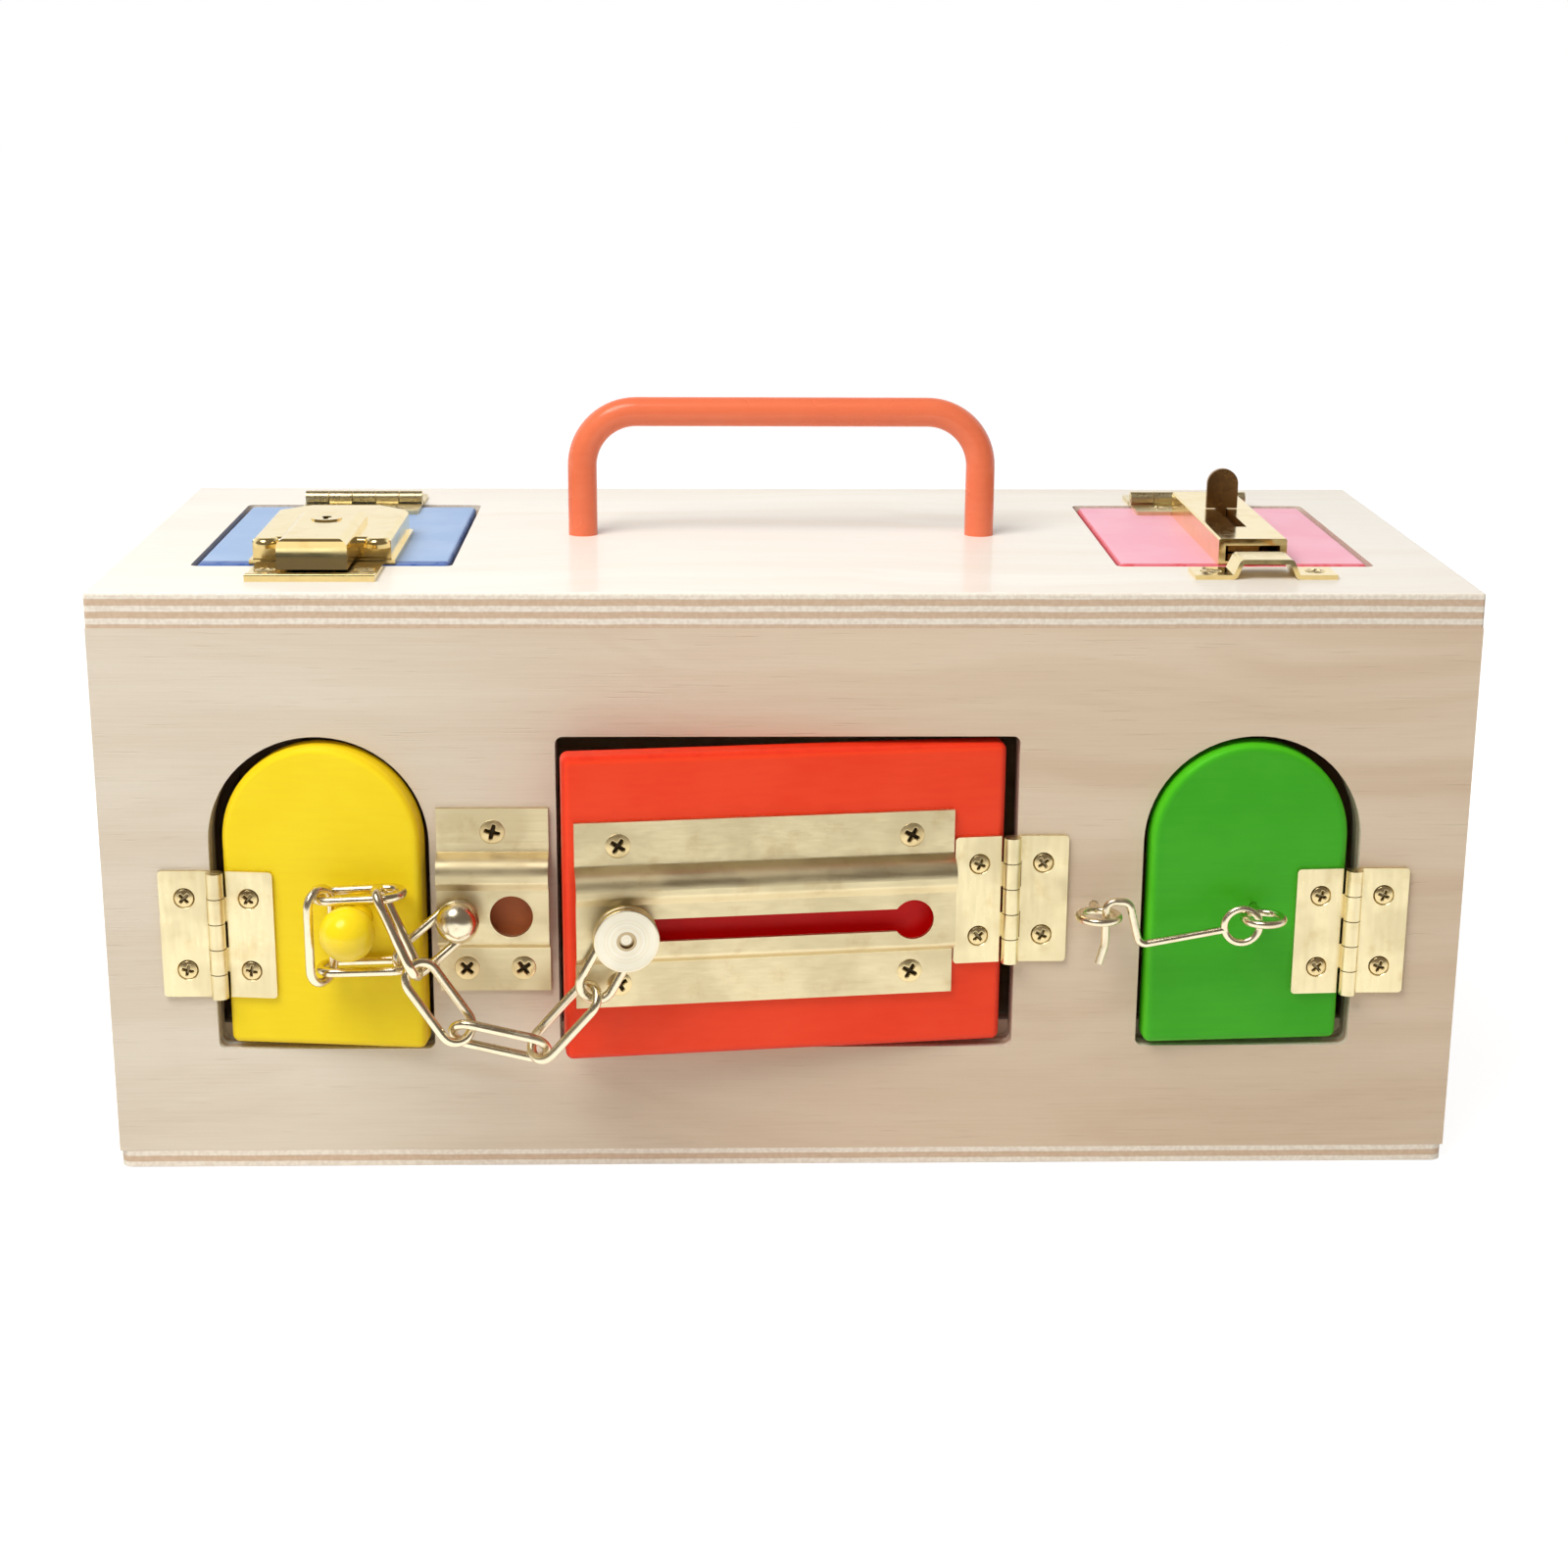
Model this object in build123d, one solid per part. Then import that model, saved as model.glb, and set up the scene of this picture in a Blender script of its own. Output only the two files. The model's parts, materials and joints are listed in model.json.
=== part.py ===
from build123d import *
import os
from math import cos, degrees, radians, sin

# Box panels; every size in this file is in millimetres
BOX_LENGTH = 350.0
BOX_DEPTH = 156.0
BOX_HEIGHT = 154.0
WALL_THICKNESS = 9.0
TOP_THICKNESS = 9.0
BOTTOM_THICKNESS = 4.5
PANEL_EDGE_RADIUS = 0.8
BOTTOM_CORNER_RADIUS = 3.0

# Door openings in the front panel, laid out along the box's length and counted from the floor
END_MARGIN = BOX_LENGTH * 55 / 700
ARCH_WIDTH = BOX_LENGTH * 112 / 700
STILE_WIDTH = BOX_LENGTH * 65 / 700
SILL_HEIGHT = 33.0
OPENING_HEIGHT = 84.0
OPENING_CORNER_RADIUS = 2.0

# Flap openings in the top panel, laid out along the box's length and depth
FLAP_END_MARGIN = BOX_LENGTH * 40 / 700
FLAP_OPENING_WIDTH = BOX_LENGTH * 136 / 700
FLAP_OPENING_DEPTH = BOX_DEPTH * 92 / 156
FLAP_BACK_MARGIN = BOX_DEPTH * 30 / 156

# Door and flap slabs
DOOR_THICKNESS = 8.5
DOOR_EDGE_RADIUS = 2.0
FLAP_EDGE_RADIUS = 1.2
FLAP_SIDE_GAP = 1.2
DOOR_GAP = 1.8
HINGE_GAP = 3.0
YELLOW_AJAR_ARC = 5.864
RED_AJAR_ARC = 14.416
GREEN_AJAR_ARC = 3.421

# Strips that the doors and flaps close on
STOP_THICKNESS = 6.0
STOP_HOLD = 8.0
STOP_LAP = 4.0

# Butt hinges, laid with their leaves on the outer faces
HINGE_LENGTH = 34.0
LEAF_WIDTH = 14.6
LEAF_THICKNESS = 1.1
LEAF_CORNER_RADIUS = 1.0
BARREL_DIAMETER = 4.4
BARREL_STANDOFF = 0.1
PIN_DIAMETER = 2.0
PIN_CLEARANCE = 0.05
KNUCKLES = 5
KNUCKLE_GAP = 0.25
LEAF_CLEARANCE = 0.35
HINGE_SCREW_SPACING = 19.4
HINGE_SCREW_OFFSET = 8.2
ARCH_HINGE_RISE = 32.0

# Countersunk screws
SCREW_HEAD = 5.4
SCREW_SHANK = 2.2
SCREW_LENGTH = 7.5
SCREW_DOME = 0.4
SCREW_SLACK = 0.08
CUT_OVERRUN = 1.0

# Pressed plates of the door chain
PLATE_HEIGHT = 49.0
PLATE_RISE = 41.0
PLATE_THICKNESS = 1.2
PLATE_BEND_RADIUS = 0.9
CHANNEL_RISE = 5.0
CHANNEL_BOTTOM = -10.3
CHANNEL_TOP = 4.0
RIDGE_RISE = 6.4
RIDGE_TOP = 10.5
RIDGE_BEND_RADIUS = 4.0
STEP_RUN = 2.2
PLATE_SCREW_INSET = 6.2
HOLDER_MARGIN = 2.0
HOLDER_SCREW_SPACING = 14.6
HOLDER_HOLE_DIAMETER = 11.0
HOLDER_HOLE_OFFSET = 4.7
TRACK_HINGE_CLEARANCE = 0.4
TRACK_FREE_MARGIN = 2.7
TRACK_SCREW_INSET = 11.0
SLOT_WIDTH = 6.0
KEYHOLE_DIAMETER = 10.5
KEYHOLE_INSET = 11.0
SLOT_INSET = 12.0

# Domed post on the holder and sliding stud on the track
POST_INSET = 5.65
POST_NECK = 5.0
POST_FIT = 0.05
POST_FLANGE = 8.0
POST_GAP = 4.6
POST_LINK_OUT = 2.1
POST_DOME = 11.0
POST_DOME_HEIGHT = 4.2
STUD_NECK = 5.4
STUD_FLANGE = 9.5
STUD_FLANGE_THICKNESS = 1.2
STUD_FLANGE_CLEARANCE = 0.3
STUD_GAP = 3.4
STUD_HEAD = 16.5
STUD_HEAD_THICKNESS = 4.0
STUD_COLLAR_THICKNESS = 1.4
STUD_GROOVE = 0.8
STUD_GROOVE_DEPTH = 1.0
STUD_EDGE_RADIUS = 0.4
STUD_DIMPLE = 3.8
STUD_DIMPLE_DEPTH = 1.2

# Door chain
LINK_WIRE = 2.4
LINK_WIDTH = 11.0
LINK_PLAY = 0.3
SAG_PLAY = 0.9

# Turning points of the hanging chain, counted from the post, from the knob's foot or from the stud
POST_TURN = (-13.4, -3.7, -10.9)
KNOB_LOW_END = (-8.2, -5.2, -11.9)
KNOB_SIDE_FOOT = (-8.8, -8.7, -13.1)
KNOB_SIDE_HEAD = (-8.8, -8.7, 8.6)
KNOB_HIGH_END = (-8.5, -6.3, 7.4)
KNOB_HIGH_TURN = (10.4, -7.9, 8.8)
KNOB_DROP_HEAD = (6.6, -11.9, 9.9)
POST_DROP_FOOT = (-9.9, -12.0, -9.4)
POST_SAG = (1.0, -11.9, -26.0)
STUD_SAG = (-21.9, -1.2, -30.3)
STUD_TURN = (-8.6, 0.0, -15.2)

# Ball knob on the yellow door
KNOB_DIAMETER = 14.0
KNOB_REACH = 14.0
KNOB_NECK = 6.5
KNOB_TENON = 6.0
KNOB_EDGE_DISTANCE = 15.9
KNOB_RISE = 37.7

# Screw eyes and hook of the green door
EYE_WIRE = 2.1
EYE_DIAMETER = 12.0
EYE_DEPTH = 7.0
EYE_RISE = 39.0
DOOR_EYE_DISTANCE = 25.6
DOOR_EYE_REACH = 10.0
FRAME_EYE_EDGE_DISTANCE = 12.3
FRAME_EYE_REACH = 9.5
HOOK_WIRE = 2.0
HOOK_RING = 11.0
HOOK_RING_DROP = 1.9
HOOK_RING_SHIFT = 0.45
HOOK_BEND_RADIUS = 2.3
HOOK_TIP_RADIUS = 5.0
HOOK_CRANK_RUN = 10.3
HOOK_CRANK_DROP = 7.0
HOOK_CREST_RUN = 7.3
HOOK_CREST_RISE = 4.6
HOOK_LEG_RUN = 1.5
HOOK_LEG_DROP = 6.5
HOOK_TIP_RUN = 0.1
HOOK_TIP_DROP = 11.8

# Key lock of the blue flap
LOCK_PLATE = 1.2
LOCK_WIDTH = 36.0
LOCK_LENGTH = 50.0
LOCK_HEIGHT = 7.0
LOCK_CHAMFER = 8.0
LOCK_WALL = 1.2
LOCK_RIM = 1.0
LOCK_EDGE_RADIUS = 1.6
LOCK_SETBACK = 1.3
EAR_RADIUS = 3.6
EAR_REACH = 2.6
EAR_THICKNESS = 2.6
CASE_WIDTH = 18.0
CASE_HEIGHT = 10.0
CASE_NOSE = 19.5
CASE_TAIL = 24.0
CASE_EDGE_RADIUS = 2.4
CASE_SCOOP = 1.2
CASE_SCOOP_RADIUS = 12.0
NOSE_LIFT = 2.2
BOSS_DIAMETER = 6.0
BOSS_SPACING = 24.0
BOSS_INSET = 8.0
PLUG_DIAMETER = 8.0
PLUG_PROUD = 0.4
PLUG_CLEARANCE = 0.06
PLUG_DISTANCE = 10.5
PLUG_DISC = 14.0
CRANK_RADIUS = 5.66
CRANK_PIN = 1.8
CRANK_CLEARANCE = 0.3
KEYHOLE_SLOT = 1.3
KEYHOLE_DROP = 3.4
KEYHOLE_DEPTH = 3.0
LATCH_THICKNESS = 2.0
LATCH_WIDTH = 14.4
LATCH_LIFT = 1.5
LATCH_BODY = 17.0
LATCH_TAIL = 8.5
LATCH_TONGUE = 5.4
LATCH_TONGUE_LENGTH = 5.5
STRIKE_WIDTH = 33.0
STRIKE_DEPTH = 20.0
STRIKE_SETBACK = 0.5
STRIKE_LIP = 2.0
STRIKE_SCREW_SPACING = 25.5
STRIKE_SCREW_INSET = 9.5
STAPLE_INSET = 5.5
STAPLE_THICKNESS = 1.5
STAPLE_LEG = 1.5
STAPLE_CLEARANCE = 0.6

# Slide bolt of the pink flap
BOLT_OFFSET = 2.0
TUBE_WIDTH = 18.0
TUBE_HEIGHT = 7.0
TUBE_WALL = 1.8
TUBE_FLOOR = 1.0
TUBE_END_GAP = 0.5
TUBE_SCREW_INSET = 8.0
BAR_CLEARANCE = 0.3
BAR_NOSE_THICKNESS = 2.4
BAR_NOSE_WIDTH = 11.0
BAR_NOSE_LENGTH = 13.0
BAR_SETBACK = 12.0
BAR_TAIL = 2.0
BOLT_TRAVEL = 27.0
TAB_WIDTH = 8.6
TAB_HEIGHT = 11.0
TAB_THICKNESS = 1.6
TAB_DISTANCE = 46.0
TAB_STEM = 2.6
TAB_LIFT = 0.2
KEEPER_LENGTH = 36.8
KEEPER_DEPTH = 11.0
KEEPER_GAP = 8.5
KEEPER_THICKNESS = 1.2
KEEPER_SHOULDER = 1.8
KEEPER_BEND_RADIUS = 0.9
KEEPER_SCREW_SPACING = 27.0

# Carrying handle
HANDLE_LENGTH = BOX_LENGTH * 236 / 700
HANDLE_RISE = 38.0
HANDLE_ROD = 8.0
HANDLE_BEND = 15.0
HANDLE_Y = 2.0
HANDLE_SCREW_HEAD = 7.0
HANDLE_SCREW_SHANK = 3.4
HANDLE_SCREW_LENGTH = 22.0

# Places worked out from the sizes above
FRONT_Y = -BOX_DEPTH / 2
INNER_FRONT_Y = FRONT_Y + WALL_THICKNESS
HALF_LENGTH = BOX_LENGTH / 2
UNDER_TOP_Z = BOX_HEIGHT - TOP_THICKNESS
ARCH_X = HALF_LENGTH - END_MARGIN - ARCH_WIDTH / 2
RED_WIDTH = 2 * (ARCH_X - ARCH_WIDTH / 2 - STILE_WIDTH)
STILE_X = RED_WIDTH / 2 + STILE_WIDTH / 2
FLAP_X = HALF_LENGTH - FLAP_END_MARGIN - FLAP_OPENING_WIDTH / 2
FLAP_BACK_Y = BOX_DEPTH / 2 - FLAP_BACK_MARGIN
FLAP_FRONT_Y = FLAP_BACK_Y - FLAP_OPENING_DEPTH
AXIS_LIFT = BARREL_DIAMETER / 2 + BARREL_STANDOFF
AXIS_Y = FRONT_Y - AXIS_LIFT
AXIS_Z = BOX_HEIGHT + AXIS_LIFT
YELLOW_AXIS_X = -ARCH_X - ARCH_WIDTH / 2 + HINGE_GAP / 2
RED_AXIS_X = RED_WIDTH / 2 - HINGE_GAP / 2
GREEN_AXIS_X = ARCH_X + ARCH_WIDTH / 2 - HINGE_GAP / 2
FLAP_AXIS_Y = FLAP_BACK_Y - HINGE_GAP / 2
ARCH_HINGE_Z = SILL_HEIGHT + ARCH_HINGE_RISE
PLATE_Z = SILL_HEIGHT + PLATE_RISE
CHANNEL_MIDDLE = (CHANNEL_BOTTOM + CHANNEL_TOP) / 2
CHAIN_Z = PLATE_Z + CHANNEL_MIDDLE
HOLDER_WIDTH = STILE_WIDTH - 2 * HOLDER_MARGIN
POST_OFFSET = POST_INSET - HOLDER_WIDTH / 2

YELLOW_AJAR_ANGLE = degrees(YELLOW_AJAR_ARC / ARCH_WIDTH)
RED_AJAR_ANGLE = degrees(RED_AJAR_ARC / RED_WIDTH)
GREEN_AJAR_ANGLE = degrees(GREEN_AJAR_ARC / ARCH_WIDTH)
YELLOW_SWING = (Axis((YELLOW_AXIS_X, AXIS_Y, 0), (0, 0, -1)), YELLOW_AJAR_ANGLE)
RED_SWING = (Axis((RED_AXIS_X, AXIS_Y, 0), (0, 0, 1)), RED_AJAR_ANGLE)
GREEN_SWING = (Axis((GREEN_AXIS_X, AXIS_Y, 0), (0, 0, 1)), GREEN_AJAR_ANGLE)


def block(x_range, y_range, z_range):
    """Plain block between two limits on each axis."""
    middle = [sum(limits) / 2 for limits in (x_range, y_range, z_range)]
    size = [limits[1] - limits[0] for limits in (x_range, y_range, z_range)]
    return Pos(*middle) * Box(*size)


def front_place(x, z, out=0.0, x_sign=1):
    """Plane on the front face with z outwards; x runs right, or left for x_sign -1."""
    return Plane(origin=(x, FRONT_Y - out, z), x_dir=(x_sign, 0, 0), z_dir=(0, -1, 0))


def top_place(x, y, up=0.0):
    """Plane on the top face with z up."""
    return Plane(origin=(x, y, BOX_HEIGHT + up), x_dir=(1, 0, 0), z_dir=(0, 0, 1))


def under_place(x, y, z):
    """Plane that looks down from below a slab, for screws driven upwards."""
    return Plane(origin=(x, y, z), x_dir=(1, 0, 0), z_dir=(0, 0, -1))


def swing(shape, turn):
    """Turn a closed door's piece to the angle at which the door rests."""
    axis, angle = turn
    return shape.rotate(axis, angle)


def swing_point(point, turn):
    """Place of a closed door's point when the door rests ajar."""
    axis, angle = turn
    arm = Vector(*point) - axis.position
    return axis.position + arm.rotate(Axis((0, 0, 0), axis.direction), angle)


def group(shapes):
    """Separate solids that share one node."""
    return Compound([solid for shape in shapes for solid in shape.solids()])


def screw(length=SCREW_LENGTH, head=SCREW_HEAD, shank=SCREW_SHANK):
    """Countersunk screw that points down from its head at z = 0."""
    dome = ThreePointArc((0, SCREW_DOME), (head / 4, SCREW_DOME * 0.75), (head / 2, 0))
    body = Polyline(
        (head / 2, 0),
        (shank / 2, -(head - shank) / 2),
        (shank / 2, -length),
        (0, -length),
        (0, SCREW_DOME),
    )
    return revolve(Plane.XZ * make_face([dome, body]), Axis.Z)


def screw_hole(length=SCREW_LENGTH, head=SCREW_HEAD, shank=SCREW_SHANK):
    """Countersunk hole for the screw, a little wider all round."""
    head_radius = head / 2 + SCREW_SLACK
    shank_radius = shank / 2 + SCREW_SLACK
    outline = Polyline(
        (0, CUT_OVERRUN),
        (head_radius, CUT_OVERRUN),
        (head_radius, 0),
        (shank_radius, -(head - shank) / 2),
        (shank_radius, -length - SCREW_SLACK),
        (0, -length - SCREW_SLACK),
        close=True,
    )
    return revolve(Plane.XZ * make_face(outline), Axis.Z)


def screws_at(places, **sizes):
    """One screw at each place."""
    return [place.location * screw(**sizes) for place in places]


def holes_at(places, **sizes):
    """One screw hole at each place."""
    return [place.location * screw_hole(**sizes) for place in places]


def arched_outline(width, height):
    """Upright outline with a half-round head, standing on the middle of its sill."""
    straight = height - width / 2
    outline = Rectangle(width, straight, align=(Align.CENTER, Align.MIN))
    outline += Pos(0, straight) * Circle(width / 2)
    return fillet(outline.vertices().group_by(Axis.Y)[0], OPENING_CORNER_RADIUS)


def square_outline(width, height):
    """Upright outline with four small corner radii, standing on the middle of its sill."""
    return Pos(0, height / 2) * RectangleRounded(width, height, OPENING_CORNER_RADIUS)


def rounded_slab(outline, place, radius=DOOR_EDGE_RADIUS):
    """Painted slab behind a plane, with both faces rounded over at the rim."""
    slab = extrude(place * outline, -DOOR_THICKNESS)
    faces = slab.faces().filter_by(place).sort_by(SortBy.AREA)[-2:]
    return fillet(faces[0].edges() + faces[1].edges(), radius)


def hinge_leaf(side, own):
    """Leaf on one side of the pin, with the knuckles whose numbers it owns."""
    plate_start = BARREL_DIAMETER / 2 + LEAF_CLEARANCE
    plate_width = LEAF_WIDTH - plate_start
    plate_x = side * (plate_start + plate_width / 2)
    plate = Pos(plate_x, 0, LEAF_THICKNESS / 2) * Box(plate_width, HINGE_LENGTH, LEAF_THICKNESS)
    corners = plate.edges().filter_by(Axis.Z).sort_by(Axis.X)
    leaf = fillet(corners[-2:] if side > 0 else corners[:2], LEAF_CORNER_RADIUS)
    pitch = HINGE_LENGTH / KNUCKLES
    for number in own:
        y = -HINGE_LENGTH / 2 + (number + 0.5) * pitch
        knuckle = Cylinder(BARREL_DIAMETER / 2, pitch - KNUCKLE_GAP, rotation=(90, 0, 0))
        strap_width = plate_start - PIN_CLEARANCE
        strap = Pos(side * (plate_start - strap_width / 2), y, LEAF_THICKNESS / 2) * Box(
            strap_width, pitch - KNUCKLE_GAP, LEAF_THICKNESS
        )
        leaf += [Pos(0, y, AXIS_LIFT) * knuckle, strap]
    bore = Cylinder(PIN_DIAMETER / 2 + PIN_CLEARANCE, 2 * HINGE_LENGTH, rotation=(90, 0, 0))
    return leaf - Pos(0, 0, AXIS_LIFT) * bore


def hinge(place):
    """Butt hinge on a face: x of the place points from the pin to the moving leaf."""
    frame_own = range(0, KNUCKLES, 2)
    door_own = range(1, KNUCKLES, 2)
    seats = {}
    for side, name in ((-1, "frame"), (1, "door")):
        seats[name] = [
            Plane(place.location * Pos(side * HINGE_SCREW_OFFSET, y, LEAF_THICKNESS))
            for y in (-HINGE_SCREW_SPACING / 2, HINGE_SCREW_SPACING / 2)
        ]
    pin = Pos(0, 0, AXIS_LIFT) * Cylinder(PIN_DIAMETER / 2, HINGE_LENGTH, rotation=(90, 0, 0))
    return {
        "frame": place.location * hinge_leaf(-1, frame_own) - holes_at(seats["frame"]),
        "door": place.location * hinge_leaf(1, door_own) - holes_at(seats["door"]),
        "pin": place.location * pin,
        "frame_seats": seats["frame"],
        "door_seats": seats["door"],
    }


HINGES = {
    "yellow": hinge(front_place(YELLOW_AXIS_X, ARCH_HINGE_Z)),
    "red": hinge(front_place(RED_AXIS_X, PLATE_Z, x_sign=-1)),
    "green": hinge(front_place(GREEN_AXIS_X, ARCH_HINGE_Z, x_sign=-1)),
    "blue": hinge(Plane((-FLAP_X, FLAP_AXIS_Y, BOX_HEIGHT), x_dir=(0, -1, 0), z_dir=(0, 0, 1))),
    "pink": hinge(Plane((FLAP_X, FLAP_AXIS_Y, BOX_HEIGHT), x_dir=(0, -1, 0), z_dir=(0, 0, 1))),
}


def pressed_plate(length):
    """Channelled plate with a rolled upper ridge, flat on z = 0, its length along x."""
    half = PLATE_THICKNESS / 2
    bends = [PLATE_BEND_RADIUS] * 4 + [RIDGE_BEND_RADIUS, PLATE_BEND_RADIUS]
    line = FilletPolyline(
        (-PLATE_HEIGHT / 2, half),
        (CHANNEL_BOTTOM - STEP_RUN, half),
        (CHANNEL_BOTTOM, CHANNEL_RISE - half),
        (CHANNEL_TOP, CHANNEL_RISE - half),
        (CHANNEL_TOP + STEP_RUN, RIDGE_RISE - half),
        (RIDGE_TOP, RIDGE_RISE - half),
        (RIDGE_TOP + STEP_RUN, half),
        (PLATE_HEIGHT / 2, half),
        radius=bends,
    )
    return extrude(Plane.YZ * trace(line, PLATE_THICKNESS), length / 2, both=True)


def chain_holder():
    """Plate, domed post and screws that hold the chain to the stile."""
    place = front_place(-STILE_X, PLATE_Z)
    row = PLATE_HEIGHT / 2 - PLATE_SCREW_INSET
    spots = [(0, row), (-HOLDER_SCREW_SPACING / 2, -row), (HOLDER_SCREW_SPACING / 2, -row)]
    seats = [Plane(place.location * Pos(x, y, PLATE_THICKNESS)) for x, y in spots]
    post_hole = Cylinder(POST_NECK / 2 + POST_FIT, 4 * CHANNEL_RISE)
    stud_hole = Cylinder(HOLDER_HOLE_DIAMETER / 2, 4 * CHANNEL_RISE)
    plate = pressed_plate(HOLDER_WIDTH)
    plate -= Pos(POST_OFFSET, CHANNEL_MIDDLE) * post_hole
    plate -= Pos(HOLDER_HOLE_OFFSET, CHANNEL_MIDDLE) * stud_hole
    under = CHANNEL_RISE - PLATE_THICKNESS
    dome_seat = CHANNEL_RISE + POST_GAP
    dome_top = dome_seat + POST_DOME_HEIGHT
    dome = ThreePointArc(
        (0, dome_top),
        (POST_DOME / 2 * sin(radians(45)), dome_seat + POST_DOME_HEIGHT * cos(radians(45))),
        (POST_DOME / 2, dome_seat),
    )
    stem = Polyline(
        (POST_DOME / 2, dome_seat),
        (POST_NECK / 2, dome_seat),
        (POST_NECK / 2, under),
        (POST_FLANGE / 2, under),
        (POST_FLANGE / 2, under - PLATE_THICKNESS),
        (0, under - PLATE_THICKNESS),
        (0, dome_top),
    )
    post = revolve(Plane.XZ * make_face([dome, stem]), Axis.Z)
    return {
        "plate": place.location * plate - holes_at(seats),
        "post": place.location * Pos(POST_OFFSET, CHANNEL_MIDDLE) * post,
        "seats": seats,
    }


HOLDER = chain_holder()
POST_POINT = Vector(-STILE_X + POST_OFFSET, FRONT_Y - CHANNEL_RISE - POST_LINK_OUT, CHAIN_Z)

TRACK_RIGHT = RED_AXIS_X - LEAF_WIDTH - TRACK_HINGE_CLEARANCE
TRACK_LEFT = -RED_WIDTH / 2 + DOOR_GAP + TRACK_FREE_MARGIN
TRACK_LENGTH = TRACK_RIGHT - TRACK_LEFT
TRACK_X = (TRACK_RIGHT + TRACK_LEFT) / 2
STUD_X = TRACK_LEFT + SLOT_INSET
STUD_LINK_OUT = CHANNEL_RISE + STUD_GAP / 2


def chain_track():
    """Keyhole plate of the red door, its screw seats and the stud that slides in it."""
    place = front_place(TRACK_X, PLATE_Z)
    row = PLATE_HEIGHT / 2 - PLATE_SCREW_INSET
    column = TRACK_LENGTH / 2 - TRACK_SCREW_INSET
    spots = [(x, y) for x in (-column, column) for y in (-row, row)]
    seats = [Plane(place.location * Pos(x, y, PLATE_THICKNESS)) for x, y in spots]
    keyhole_x = TRACK_LENGTH / 2 - KEYHOLE_INSET
    slot_x = SLOT_INSET - TRACK_LENGTH / 2
    slot = Pos((keyhole_x + slot_x) / 2) * SlotCenterToCenter(keyhole_x - slot_x, SLOT_WIDTH)
    opening = slot + Pos(keyhole_x) * Circle(KEYHOLE_DIAMETER / 2)
    plate = pressed_plate(TRACK_LENGTH) - Pos(0, CHANNEL_MIDDLE) * extrude(opening, 4 * CHANNEL_RISE)
    flange_top = CHANNEL_RISE - PLATE_THICKNESS - STUD_FLANGE_CLEARANCE
    flange_bottom = flange_top - STUD_FLANGE_THICKNESS
    head_bottom = CHANNEL_RISE + STUD_GAP
    head_top = head_bottom + STUD_HEAD_THICKNESS
    collar_top = head_bottom + STUD_COLLAR_THICKNESS
    groove_radius = STUD_HEAD / 2 - STUD_GROOVE_DEPTH
    profile = Polyline(
        (0, flange_bottom),
        (STUD_FLANGE / 2, flange_bottom),
        (STUD_FLANGE / 2, flange_top),
        (STUD_NECK / 2, flange_top),
        (STUD_NECK / 2, head_bottom),
        (STUD_HEAD / 2, head_bottom),
        (STUD_HEAD / 2, collar_top),
        (groove_radius, collar_top),
        (groove_radius, collar_top + STUD_GROOVE),
        (STUD_HEAD / 2, collar_top + STUD_GROOVE),
        (STUD_HEAD / 2, head_top),
        (STUD_DIMPLE / 2, head_top),
        (STUD_DIMPLE / 2, head_top - STUD_DIMPLE_DEPTH),
        (0, head_top - STUD_DIMPLE_DEPTH),
        close=True,
    )
    stud = revolve(Plane.XZ * make_face(profile), Axis.Z)
    rim = stud.edges().filter_by(GeomType.CIRCLE).sort_by(SortBy.RADIUS)[-4:]
    stud = fillet(rim, STUD_EDGE_RADIUS)
    return {
        "plate": place.location * plate - holes_at(seats),
        "stud": front_place(STUD_X, CHAIN_Z).location * stud,
        "seats": seats,
    }


TRACK = chain_track()


def screw_eye(reach):
    """Wire ring on a straight shank, standing out from z = 0, the ring's hole along y."""
    ring_radius = (EYE_DIAMETER - EYE_WIRE) / 2
    ring = Pos(0, 0, reach) * Torus(ring_radius, EYE_WIRE / 2, rotation=(90, 0, 0))
    shank_length = EYE_DEPTH + reach - ring_radius
    shank = Pos(0, 0, -EYE_DEPTH + shank_length / 2) * Cylinder(EYE_WIRE / 2, shank_length)
    return ring + shank


def eye_hole():
    """Hole in the wood for the shank of a screw eye."""
    return Cylinder(
        EYE_WIRE / 2 + SCREW_SLACK,
        EYE_DEPTH + SCREW_SLACK + CUT_OVERRUN,
        align=(Align.CENTER, Align.CENTER, Align.MAX),
    )


EYE_Z = SILL_HEIGHT + EYE_RISE
DOOR_EYE_X = GREEN_AXIS_X - DOOR_EYE_DISTANCE
FRAME_EYE_X = ARCH_X - ARCH_WIDTH / 2 - FRAME_EYE_EDGE_DISTANCE
DOOR_EYE_PLACE = front_place(DOOR_EYE_X, EYE_Z)
FRAME_EYE_PLACE = front_place(FRAME_EYE_X, EYE_Z)
EYE_HOLE = Pos(0, 0, CUT_OVERRUN) * eye_hole()


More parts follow.
